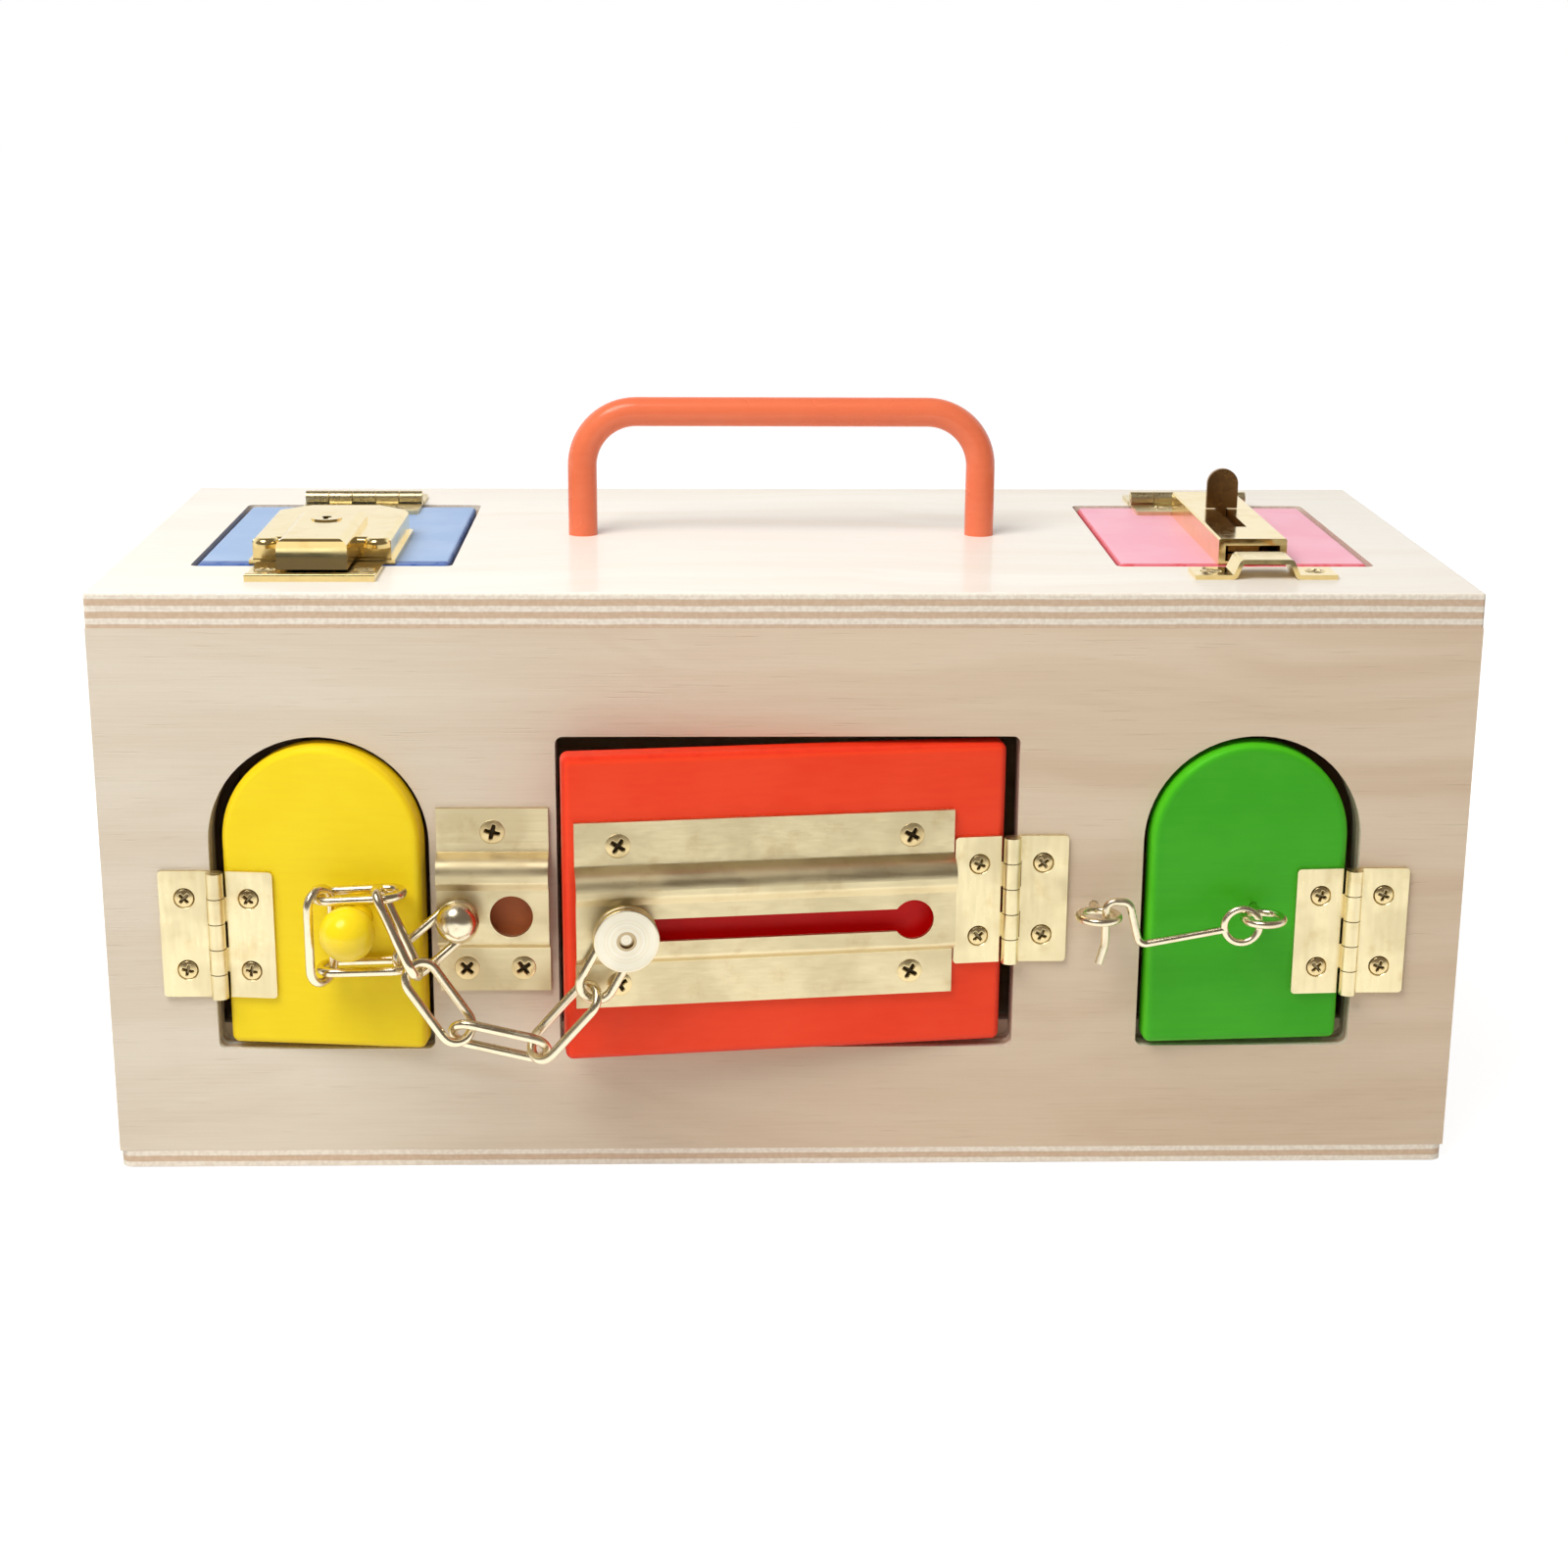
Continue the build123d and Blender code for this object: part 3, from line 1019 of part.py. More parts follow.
def door_chain():
    """Nine links from the post, round the knob's neck and down to the stud."""
    knob_x = -ARCH_X + ARCH_WIDTH / 2 - DOOR_GAP - KNOB_EDGE_DISTANCE
    knob = swing_point((knob_x, FRONT_Y, SILL_HEIGHT + KNOB_RISE), YELLOW_SWING)
    stud_closed = Vector(STUD_X, FRONT_Y - STUD_LINK_OUT, CHAIN_Z)
    stud = swing_point(stud_closed, RED_SWING)
    post_turn = POST_POINT + Vector(POST_TURN)
    post_end = POST_POINT + (POST_POINT - post_turn).normalized() * POST_NECK / 2
    low_end = knob + Vector(KNOB_LOW_END)
    side_foot = knob + Vector(KNOB_SIDE_FOOT)
    side_head = knob + Vector(KNOB_SIDE_HEAD)
    high_end = knob + Vector(KNOB_HIGH_END)
    high_turn = knob + Vector(KNOB_HIGH_TURN)
    drop_head = knob + Vector(KNOB_DROP_HEAD)
    drop_foot = POST_POINT + Vector(POST_DROP_FOOT)
    sag_left = POST_POINT + Vector(POST_SAG)
    sag_right = stud + Vector(STUD_SAG)
    stud_turn = swing_point(stud_closed + Vector(STUD_TURN), RED_SWING)
    stud_end = stud + (stud - stud_turn).normalized() * STUD_NECK / 2
    runs = [
        (post_end, post_turn, 0, LINK_PLAY, LINK_PLAY),
        (post_turn, low_end, 90, LINK_PLAY, LINK_PLAY),
        (side_foot, side_head, 55, LINK_PLAY, LINK_PLAY),
        (high_end, high_turn, 90, LINK_PLAY, LINK_PLAY),
        (drop_head, drop_foot, 90, LINK_PLAY, LINK_PLAY),
        (drop_foot, sag_left, -30, LINK_PLAY, SAG_PLAY),
        (sag_left, sag_right, 35, SAG_PLAY, SAG_PLAY),
        (sag_right, stud_turn, -52, SAG_PLAY, LINK_PLAY),
        (stud_turn, stud_end, RED_AJAR_ANGLE, LINK_PLAY, LINK_PLAY),
    ]
    return {f"door_chain_link_{number}": chain_link(*run) for number, run in enumerate(runs, start=1)}


def assembly():
    """Every piece of the lock box by name."""
    pieces = {}
    doors = [yellow_door, red_door, green_door, blue_flap, pink_flap]
    for make in [box_panels, closing_strips, frame_fittings] + doors + [door_chain]:
        pieces.update(make())
    return pieces


os.makedirs("parts", exist_ok=True)
for piece_name, piece in assembly().items():
    export_step(piece, f"parts/{piece_name}.step")
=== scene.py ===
"""Looks of the wooden lock box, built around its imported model."""

import json
import logging
import math
from abc import ABC, abstractmethod
from dataclasses import dataclass, field
from enum import Enum

import bmesh
import bpy
import numpy as np
from mathutils import Color, Matrix, Vector

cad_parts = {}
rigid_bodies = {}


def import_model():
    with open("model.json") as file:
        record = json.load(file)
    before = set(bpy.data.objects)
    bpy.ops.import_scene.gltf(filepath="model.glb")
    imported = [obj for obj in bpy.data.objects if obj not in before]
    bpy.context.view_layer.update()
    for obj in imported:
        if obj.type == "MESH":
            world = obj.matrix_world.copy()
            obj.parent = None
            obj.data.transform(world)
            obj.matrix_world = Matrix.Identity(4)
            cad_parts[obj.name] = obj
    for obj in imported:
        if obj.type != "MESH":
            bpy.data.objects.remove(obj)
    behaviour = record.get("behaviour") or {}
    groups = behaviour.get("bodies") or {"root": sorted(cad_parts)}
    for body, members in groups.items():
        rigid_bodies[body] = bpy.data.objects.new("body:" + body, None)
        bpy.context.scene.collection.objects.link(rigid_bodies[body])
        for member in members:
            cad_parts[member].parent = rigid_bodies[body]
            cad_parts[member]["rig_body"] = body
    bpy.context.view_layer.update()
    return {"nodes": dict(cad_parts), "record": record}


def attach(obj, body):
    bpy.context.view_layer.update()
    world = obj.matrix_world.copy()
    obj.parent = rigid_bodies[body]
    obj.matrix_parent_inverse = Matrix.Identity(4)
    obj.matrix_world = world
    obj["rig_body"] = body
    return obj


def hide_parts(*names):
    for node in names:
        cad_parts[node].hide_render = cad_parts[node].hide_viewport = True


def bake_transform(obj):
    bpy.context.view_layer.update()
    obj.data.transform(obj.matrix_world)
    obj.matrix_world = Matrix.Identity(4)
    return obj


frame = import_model()
log = logging.getLogger("lock_box")

Colour = tuple[float, float, float, float]
Point = tuple[float, float, float]
Span = tuple[float, float]
Material = bpy.types.Material
Piece = bpy.types.Object
Socket = bpy.types.NodeSocket
Sockets = bpy.types.NodeOutputs
Tree = bpy.types.NodeTree

ORIGIN: Point = (0.0, 0.0, 0.0)
WHITE: Colour = (1.0, 1.0, 1.0, 1.0)
SCREEN_WHITE = 255.0
RECESS_MARK = "recess"
RECESS_TONE = "cross_tone"


def linear(red: int, green: int, blue: int) -> Colour:
    """Linear colour of a colour that is given as it looks on a screen, from 0 to 255."""
    shown = Color([value / SCREEN_WHITE for value in (red, green, blue)])
    return (*shown.from_srgb_to_scene_linear(), 1.0)


def even(scale: float) -> Point:
    """The same scale on each axis."""
    return scale, scale, scale


class Axis(Enum):
    """Axis of the box that a panel's thickness runs along."""

    X = 0
    Y = 1
    Z = 2

    @property
    def vector(self) -> Point:
        """Unit vector along the axis."""
        return tuple(float(axis is self) for axis in Axis)


class Grain(Enum):
    """Turn about the upright, in degrees, that lays a pattern's length along an axis of the box."""

    ALONG_X = 0.0
    ALONG_Y = 90.0


class NodeDesk:
    """Adds nodes to one node tree and joins them."""

    number_sums = ("DISTANCE", "DOT_PRODUCT", "LENGTH")

    def __init__(self, tree: Tree) -> None:
        """Keeps the tree that the nodes go into."""
        self.tree = tree

    @classmethod
    def start_group(cls, name: str, kind: str, **inputs: str) -> tuple["NodeDesk", Sockets]:
        """Starts a node group with named inputs.

        Args:
            name: Name of the group.
            kind: Shader or Geometry.
            inputs: Kind of each input's socket, by the input's name.

        Returns:
            The group's desk, and the inputs' sockets by name.
        """
        tree = bpy.data.node_groups.new(name, f"{kind}NodeTree")
        for title, socket in inputs.items():
            tree.interface.new_socket(title, in_out="INPUT", socket_type=f"NodeSocket{socket}")
        desk = cls(tree)
        return desk, desk.add("NodeGroupInput").outputs

    def end_group(self, results: dict[str, Socket], kind: str = "Float") -> Tree:
        """Ends a node group with named outputs.

        Args:
            results: Socket that feeds each output, by the output's name.
            kind: Kind of the outputs' sockets.

        Returns:
            The group's tree.
        """
        for title in results:
            self.tree.interface.new_socket(title, in_out="OUTPUT", socket_type=f"NodeSocket{kind}")
        self.add("NodeGroupOutput", results)
        return self.tree

    def end_geometry(self, geometry: Socket, material: Socket) -> Tree:
        """Makes instances real, gives them a material and ends the group."""
        inputs = {"Geometry": self.first("GeometryNodeRealizeInstances", {0: geometry}), "Material": material}
        return self.end_group({"Geometry": self.first("GeometryNodeSetMaterial", inputs)}, "Geometry")

    def add(self, kind: str, inputs: dict | None = None, **settings: object) -> bpy.types.Node:
        """Adds one node.

        Args:
            kind: Blender's name for the kind of node.
            inputs: Socket name or number, with a value or the socket that feeds it.
            settings: Properties of the node itself.

        Returns:
            The new node.
        """
        node = self.tree.nodes.new(kind)
        for name, value in settings.items():
            setattr(node, name, value)
        for key, value in (inputs or {}).items():
            self.feed(node.inputs[key], value)
        return node

    def first(self, kind: str, inputs: dict | None = None, **settings: object) -> Socket:
        """First output of a node that is added with these inputs and settings."""
        return self.add(kind, inputs, **settings).outputs[0]

    def feed(self, socket: Socket, value: object) -> None:
        """Sets a socket, or links it.

        Args:
            socket: Socket to feed.
            value: Value to set, or the socket to link it to.
        """
        if isinstance(value, Socket):
            self.tree.links.new(value, socket)
        else:
            socket.default_value = value

    def group(self, tree: Tree, **inputs: object) -> Sockets:
        """Outputs of a shared shader group that is placed with inputs of its own."""
        return self.add("ShaderNodeGroup", inputs, node_tree=tree).outputs

    def parts(self, vector: Socket) -> Sockets:
        """X, Y and Z of a vector."""
        return self.add("ShaderNodeSeparateXYZ", {0: vector}).outputs

    def math(self, operation: str, first: object, second: object = 0.0, third: object = 0.0) -> Socket:
        """Result of one sum on numbers or their sockets."""
        return self.first("ShaderNodeMath", {0: first, 1: second, 2: third}, operation=operation)

    def vector(self, operation: str, first: object, second: object = ORIGIN) -> Socket:
        """Result of one sum on vectors or their sockets, which is a number for some sums."""
        node = self.add("ShaderNodeVectorMath", {0: first, 1: second}, operation=operation)
        return node.outputs["Value" if operation in self.number_sums else "Vector"]

    def mix(self, factor: object, first: object, second: object, blend: str = "MIX") -> Socket:
        """Mix of two colours, with the factor as the second one's share."""
        inputs = {0: factor, 6: first, 7: second}
        return self.add("ShaderNodeMix", inputs, data_type="RGBA", blend_type=blend).outputs[2]

    def lay(self, ground: object, colour: Colour, mask: Socket, share: float) -> Socket:
        """Colour laid on a ground where a mask shows, with some share of its strength."""
        return self.mix(self.math("MULTIPLY", mask, share), ground, colour)

    def span(self, value: object, low: float, high: float, start: float = 0.0, end: float = 1.0) -> Socket:
        """Value carried smoothly from the span of low to high to that of start to end."""
        inputs = {"Value": value, "From Min": low, "From Max": high, "To Min": start, "To Max": end}
        return self.first("ShaderNodeMapRange", inputs, interpolation_type="SMOOTHSTEP")

    def fade(self, value: object, low: float, high: float) -> Socket:
        """Mask that is 1 at low and below it, and 0 at high and above it."""
        return self.span(value, low, high, 1.0, 0.0)


@dataclass(frozen=True)
class Noise:
    """Soft noise: features to a metre on each axis, finer layers, and the span its mask opens over."""

    scale: Point
    detail: float = 2.0
    rough: float = 0.5
    low: float = 0.35
    high: float = 0.65

    def read(self, desk: NodeDesk, place: Socket, shift: object = ORIGIN) -> Socket:
        """Noise between 0 and 1, read at a place after a shift."""
        scaled = desk.vector("MULTIPLY", desk.vector("ADD", place, shift), self.scale)
        return desk.first("ShaderNodeTexNoise", {
            "Vector": scaled, "Scale": 1.0, "Detail": self.detail, "Roughness": self.rough})

    def mask(self, desk: NodeDesk, value: Socket) -> Socket:
        """Mask that opens over the noise's span."""
        return desk.span(value, self.low, self.high)

    def patches(self, desk: NodeDesk, place: Socket, shift: object = ORIGIN) -> Socket:
        """Mask of the noise as it is read at a place."""
        return self.mask(desk, self.read(desk, place, shift))


class SurfaceGroups:
    """Shader groups that several finishes share, with the numbers of their patterns."""

    sway = Noise((6.5, 9.0, 9.0))
    sway_width = 0.06
    bands = Noise((3.2, 58.0, 58.0), rough=0.45, low=0.32, high=0.7)
    streaks = Noise((6.0, 230.0, 230.0))
    streak_share = 0.25
    fibres = Noise((32.0, 1900.0, 1900.0), rough=0.6, low=0.3, high=0.7)
    fibre_relief = 0.5
    pores = Noise((70.0, 2300.0, 2300.0), detail=1.0, low=0.66, high=0.76)
    pore_relief = 0.6
    tint = Noise((4.0, 14.0, 14.0), detail=1.0, high=0.68)

    wobble = Noise(even(60.0), detail=1.0)
    wobble_share = 0.22
    layer_blur = 0.3
    glue_from = 0.4
    speckle = Noise(even(900.0))

    smudge = Noise(even(55.0), detail=3.0, rough=0.6, high=0.68)
    tarnish = Noise(even(140.0), detail=3.0, rough=0.65, low=0.5, high=0.75)
    tarnish_shift = (0.31, 0.17, 0.43)
    scratches = Noise(even(1.0), rough=0.6)
    pits = Noise(even(1500.0), detail=1.0)
    pit_relief = 0.15

    mottle = Noise(even(38.0), detail=3.0, rough=0.6, low=0.32, high=0.7)
    brushing = Noise((30.0, 700.0, 700.0), rough=0.55, high=0.68)
    peel = Noise(even(620.0))
    peel_share = 0.35
    rim_patches = Noise(even(210.0), detail=3.0, rough=0.7, low=0.42, high=0.72)

    rim_span = (0.72, 0.985)
    side_span = (0.5, 0.92)

    def __init__(self) -> None:
        """Builds each group once."""
        self.wood = self._wood_figure()
        self.layers = self._ply_layers()
        self.metal = self._metal_marks()
        self.paint = self._paint_skin()
        self.rim = self._slab_rim()

    def _wood_figure(self) -> Tree:
        """Birch figure with its length along x: broad bands, fine fibres and short pores.

        Returns:
            The group.
        """
        desk, given = NodeDesk.start_group("wood_figure", "Shader", Vector="Vector", Shift="Vector")
        place, shift = given["Vector"], given["Shift"]
        sway = desk.math("MULTIPLY", self.sway.read(desk, place, shift), self.sway_width)
        lift = desk.first("ShaderNodeCombineXYZ", {"Y": sway, "Z": sway})
        swayed = desk.vector("ADD", place, lift)
        bands = desk.math("MULTIPLY", self.bands.read(desk, swayed, shift), 1.0 - self.streak_share)
        both = desk.math("MULTIPLY_ADD", self.streaks.read(desk, swayed, shift), self.streak_share, bands)
        fibres = self.fibres.read(desk, place, shift)
        pores = self.pores.patches(desk, place, shift)
        raised = desk.math("MULTIPLY", fibres, self.fibre_relief)
        height = desk.math("SUBTRACT", raised, desk.math("MULTIPLY", pores, self.pore_relief))
        return desk.end_group({
            "Bands": self.bands.mask(desk, both),
            "Fibres": self.fibres.mask(desk, fibres),
            "Pores": pores,
            "Tint": self.tint.patches(desk, place, shift),
            "Height": height,
        })

    def _ply_layers(self) -> Tree:
        """Crossed layers of plywood, counted through the panel's thickness.

        Returns:
            The group.
        """
        desk, given = NodeDesk.start_group(
            "ply_layers", "Shader",
            Vector="Vector", Depth="Float", Start="Float", Thickness="Float", Layers="Float")
        place = given["Vector"]
        depth = desk.math("SUBTRACT", given["Depth"], given["Start"])
        whole = desk.math("MULTIPLY", desk.math("DIVIDE", depth, given["Thickness"]), given["Layers"])
        wobble = desk.math("SUBTRACT", self.wobble.read(desk, place), 0.5)
        count = desk.math("MULTIPLY_ADD", wobble, self.wobble_share, whole)
        wave = desk.math("SINE", desk.math("MULTIPLY", count, math.pi))
        swing = desk.math("PINGPONG", count, 1.0)
        near = desk.math("ABSOLUTE", desk.math("SUBTRACT", swing, 0.5))
        return desk.end_group({
            "Cross": desk.fade(wave, -self.layer_blur, self.layer_blur),
            "Glue": desk.span(near, self.glue_from, 0.5),
            "Speckle": self.speckle.patches(desk, place),
        })

    def _metal_marks(self) -> Tree:
        """Smudges, tarnish and fine scratches of handled metal.

        Returns:
            The group.
        """
        desk, given = NodeDesk.start_group("metal_marks", "Shader", Vector="Vector", Stretch="Vector")
        place = given["Vector"]
        lines = self.scratches.read(desk, desk.vector("MULTIPLY", place, given["Stretch"]))
        return desk.end_group({
            "Smudge": self.smudge.patches(desk, place),
            "Tarnish": self.tarnish.patches(desk, place, self.tarnish_shift),
            "Scratches": self.scratches.mask(desk, lines),
            "Height": desk.math("MULTIPLY_ADD", self.pits.read(desk, place), self.pit_relief, lines),
        })

    def _paint_skin(self) -> Tree:
        """Brushed satin paint over wood, with the grain faintly showing.

        Returns:
            The group.
        """
        desk, given = NodeDesk.start_group("paint_skin", "Shader", Vector="Vector", Shift="Vector")
        place, shift = given["Vector"], given["Shift"]
        grain = self.brushing.read(desk, place, shift)
        peel = desk.math("MULTIPLY", self.peel.read(desk, place), self.peel_share)
        return desk.end_group({
            "Mottle": self.mottle.patches(desk, place, shift),
            "Grain": self.brushing.mask(desk, grain),
            "RimPatches": self.rim_patches.patches(desk, place, shift),
            "Height": desk.math("MULTIPLY_ADD", grain, 1.0 - self.peel_share, peel),
        })

    def _slab_rim(self) -> Tree:
        """Masks of the surfaces that turn away from a slab's flat faces.

        Returns:
            The group.
        """
        desk, given = NodeDesk.start_group("slab_rim", "Shader", Normal="Vector", Axis="Vector")
        facing = desk.math("ABSOLUTE", desk.vector("DOT_PRODUCT", given["Normal"], given["Axis"]))
        return desk.end_group({
            "Rim": desk.fade(facing, *self.rim_span),
            "Side": desk.fade(facing, *self.side_span),
        })


class MaterialDesk(NodeDesk):
    """Desk of one material, with its shader and the coordinates that its patterns follow."""

    def __init__(self, name: str, groups: SurfaceGroups) -> None:
        """Starts a material with its shader.

        Args:
            name: Name of the material.
            groups: Shared shader groups.
        """
        self.groups = groups
        self.material = bpy.data.materials.new(name)
        self.material.use_nodes = True
        super().__init__(self.material.node_tree)
        self.tree.nodes.clear()
        self.shader = self.add("ShaderNodeBsdfPrincipled")
        self.add("ShaderNodeOutputMaterial", {"Surface": self.shader.outputs[0]})
        coords = self.add("ShaderNodeTexCoord").outputs
        self.place, self.normal = coords["Object"], coords["Normal"]

    def complete(self, height: Socket, relief: Span, inputs: dict[str, object]) -> None:
        """Feeds the shader and its relief.

        Args:
            height: Relief from 0 to 1.
            relief: Depth in metres that 1 stands for, and the share of it that shows.
            inputs: Socket or constant for each of the shader's other inputs, by name.
        """
        depth, share = relief
        bump = self.add("ShaderNodeBump", {"Height": height, "Distance": depth, "Strength": share})
        for name, value in (inputs | {"Normal": bump.outputs[0]}).items():
            self.feed(self.shader.inputs[name], value)


@dataclass(frozen=True)
class Look(ABC):
    """A named look that becomes one material."""

    name: str

    def build(self, groups: SurfaceGroups) -> Material:
        """Builds the material.

        Args:
            groups: Shared shader groups.

        Returns:
            The material.
        """
        desk = MaterialDesk(self.name, groups)
        self.fill(desk)
        return desk.material

    @abstractmethod
    def fill(self, desk: MaterialDesk) -> None:
        """Fills the material's node tree."""


@dataclass(frozen=True)
class PlyFinish(Look):
    """Clear sanded birch plywood of one panel, with its layers on the cut edges."""

    node: str
    axis: Axis
    layers: float
    skipped: float = 0.0
    grain: Grain = Grain.ALONG_X
    shift: Point = ORIGIN
    face: Colour = linear(232, 215, 190)
    band: Colour = linear(212, 186, 156)
    band_share: float = 0.68
    tint: Colour = linear(214, 192, 166)
    tint_share: float = 0.55
    fibre: Colour = linear(252, 242, 226)
    fibre_share: float = 0.08
    pore: Colour = linear(186, 156, 128)
    pore_share: float = 0.12
    cross_layer: Colour = linear(213, 186, 158)
    long_layer: Colour = linear(241, 231, 214)
    glue: Colour = linear(160, 120, 88)
    glue_share: float = 0.25
    speckle: Colour = linear(176, 138, 104)
    speckle_share: float = 0.2
    # Painted shade: the wood behind the chain holder's hole turned brown, round a given place.
    hole_shade: Colour = linear(192, 104, 57)
    hole_shade_place: Point | None = None
    hole_shade_radius: float = 0.0075
    hole_shade_core: float = 0.85
    # Painted light and shade: the front panel's wood multiplied lighter at its left end and darker at its
    # right, over a span of x.
    painted_falloff_ends: tuple[Colour, Colour] | None = None
    painted_falloff_span: Span = (-0.14, 0.03)
    roughness: Span = (0.52, 0.64)
    specular: float = 0.35
    coat: float = 0.0
    coat_roughness: float = 0.14
    relief: Span = (0.00012, 0.6)

    def fill(self, desk: MaterialDesk) -> None:
        """Lays the wood's figure on the faces and the layers on the cut edges.

        Args:
            desk: Desk of the material.
        """
        turn = (0.0, 0.0, math.radians(self.grain.value))
        turned = desk.first("ShaderNodeMapping", {"Vector": desk.place, "Rotation": turn})
        wood = desk.group(desk.groups.wood, Vector=turned, Shift=self.shift)
        rim = desk.group(desk.groups.rim, Normal=desk.normal, Axis=self.axis.vector)
        spot = desk.parts(desk.place)
        low, high = extent(self.node, self.axis)
        start = low + (high - low) * self.skipped / self.layers
        layers = desk.group(
            desk.groups.layers, Vector=desk.place, Depth=spot[self.axis.value],
            Start=start, Thickness=high - low, Layers=self.layers)
        colour = desk.lay(self.face, self.band, wood["Bands"], self.band_share)
        colour = desk.lay(colour, self.tint, wood["Tint"], self.tint_share)
        colour = desk.lay(colour, self.fibre, wood["Fibres"], self.fibre_share)
        colour = desk.lay(colour, self.pore, wood["Pores"], self.pore_share)
        cut = desk.mix(layers["Cross"], self.long_layer, self.cross_layer)
        cut = desk.lay(cut, self.glue, layers["Glue"], self.glue_share)
        cut = desk.lay(cut, self.speckle, layers["Speckle"], self.speckle_share)
        colour = desk.mix(rim["Side"], colour, cut)
        # Painted light and shade: lighter towards the left end, darker towards the right.
        if self.painted_falloff_ends is not None:
            shade = desk.mix(desk.span(spot["X"], *self.painted_falloff_span), *self.painted_falloff_ends)
            colour = desk.mix(1.0, colour, shade, "MULTIPLY")
        # Painted shade: brown laid round the chain holder's hole, where the wood lies in shade behind the
        # plate.
        if self.hole_shade_place is not None:
            far = desk.vector("DISTANCE", desk.place, self.hole_shade_place)
            mask = desk.fade(far, self.hole_shade_radius * self.hole_shade_core, self.hole_shade_radius)
            colour = desk.mix(mask, colour, self.hole_shade)
        inputs = {
            "Base Color": colour,
            "Roughness": desk.span(wood["Bands"], 0.0, 1.0, *self.roughness),
            "Specular IOR Level": self.specular,
            "Coat Weight": self.coat,
            "Coat Roughness": self.coat_roughness,
        }
        desk.complete(wood["Height"], self.relief, inputs)


@dataclass(frozen=True)
class PaintFinish(Look):
    """Satin paint on a wooden slab, with a second colour round the rim; on the green door it is a painted
    highlight on the edges.
    """

    colour: Colour
    deep: Colour
    rim: Colour
    axis: Axis = Axis.Y
    shift: Point = ORIGIN
    mottle_share: float = 0.3
    grain_share: float = 0.16
    rim_share: float = 0.6
    least_rim_patch: float = 0.75
    # Painted shade along a flap's front edge: where the edge lies and the band's width and blur.
    front_edge: float | None = None
    edge_width: float = 0.0028
    edge_blur: float = 0.0004
    # Painted shade under a plate: the spot the plate covers and the deep colour laid there.
    shaded: tuple[Span, Span] | None = None
    shade: Colour = linear(236, 0, 0)
    shade_facing: float = -0.5
    roughness: float = 0.42
    roughness_swing: Span = (-0.05, 0.06)
    specular: float = 0.25
    relief: Span = (0.00009, 0.5)

    def fill(self, desk: MaterialDesk) -> None:
        """Lays the paint, its rim and the painted shade on the part under a plate.

        Args:
            desk: Desk of the material.
        """
        skin = desk.group(desk.groups.paint, Vector=desk.place, Shift=self.shift)
        edge = desk.group(desk.groups.rim, Normal=desk.normal, Axis=self.axis.vector)["Rim"]
        colour = desk.lay(self.colour, self.deep, skin["Mottle"], self.mottle_share)
        colour = desk.lay(colour, self.deep, skin["Grain"], self.grain_share)
        # Painted shade: a dark band on the flap's top along its front edge, in place of the shaded front face
        # and gap.
        if self.front_edge is not None:
            inner = self.front_edge + self.edge_width
            band = desk.fade(desk.parts(desk.place)["Y"], inner - self.edge_blur, inner)
            edge = desk.math("MAXIMUM", edge, band)
        edge = desk.math("MULTIPLY", edge, desk.span(skin["RimPatches"], 0.0, 1.0, self.least_rim_patch, 1.0))
        # The rim colour, broken into patches, is a painted highlight on the green door's edges; on the flaps
        # it also carries the painted shade of the front band.
        colour = desk.lay(colour, self.rim, edge, self.rim_share)
        # Painted shade: the front face under the track plate, seen through its slot, laid deep red.
        if self.shaded is not None:
            colour = desk.mix(self._under_plate(desk), colour, self.shade)
        swing = [self.roughness + change for change in self.roughness_swing]
        inputs = {
            "Base Color": colour,
            "Roughness": desk.span(skin["Mottle"], 0.0, 1.0, *swing),
            "Specular IOR Level": self.specular,
        }
        desk.complete(skin["Height"], self.relief, inputs)

    def _under_plate(self, desk: MaterialDesk) -> Socket:
        """Mask of the front face's part that lies under a plate.

        Args:
            desk: Desk of the material.

        Returns:
            The socket with the mask.
        """
        spot = desk.parts(desk.place)
        mask = desk.math("LESS_THAN", desk.parts(desk.normal)["Y"], self.shade_facing)
        for axis, (low, high) in zip("XZ", self.shaded):
            inside = desk.math("COMPARE", spot[axis], (low + high) / 2, (high - low) / 2)
            mask = desk.math("MULTIPLY", mask, inside)
        return mask


@dataclass(frozen=True)
class BrassFinish(Look):
    """Brass-plated metal with smudges, tarnish and fine scratches."""

    colour: Colour
    tarnish: Colour
    stretch: Point
    roughness: float
    spread: float
    relief: Span = (0.00002, 0.5)
    tarnish_share: float = 0.35
    recessed: bool = False
    recess_shade: Colour = linear(30, 18, 8)
    scratch_share: float = 0.5

    def fill(self, desk: MaterialDesk) -> None:
        """Lays the marks of use on the metal, and paints shade into a screw's cross recess.

        Args:
            desk: Desk of the material.
        """
        marks = desk.group(desk.groups.metal, Vector=desk.place, Stretch=self.stretch)
        colour = desk.lay(self.colour, self.tarnish, marks["Tarnish"], self.tarnish_share)
        # Painted shade: the cross recess darkened by the head's recess mark, scaled by each screw's cross
        # tone.
        if self.recessed:
            mark, tone = (
                desk.add("ShaderNodeAttribute", attribute_name=name).outputs["Fac"]
                for name in (RECESS_MARK, RECESS_TONE))
            colour = desk.mix(desk.math("MULTIPLY", mark, tone), colour, self.recess_shade)
        rough = desk.span(marks["Smudge"], 0.0, 1.0, self.roughness, self.roughness + self.spread)
        rough = desk.math("MULTIPLY_ADD", marks["Scratches"], self.spread * self.scratch_share, rough)
        inputs = {"Base Color": colour, "Roughness": rough, "Metallic": 1.0}
        desk.complete(marks["Height"], self.relief, inputs)


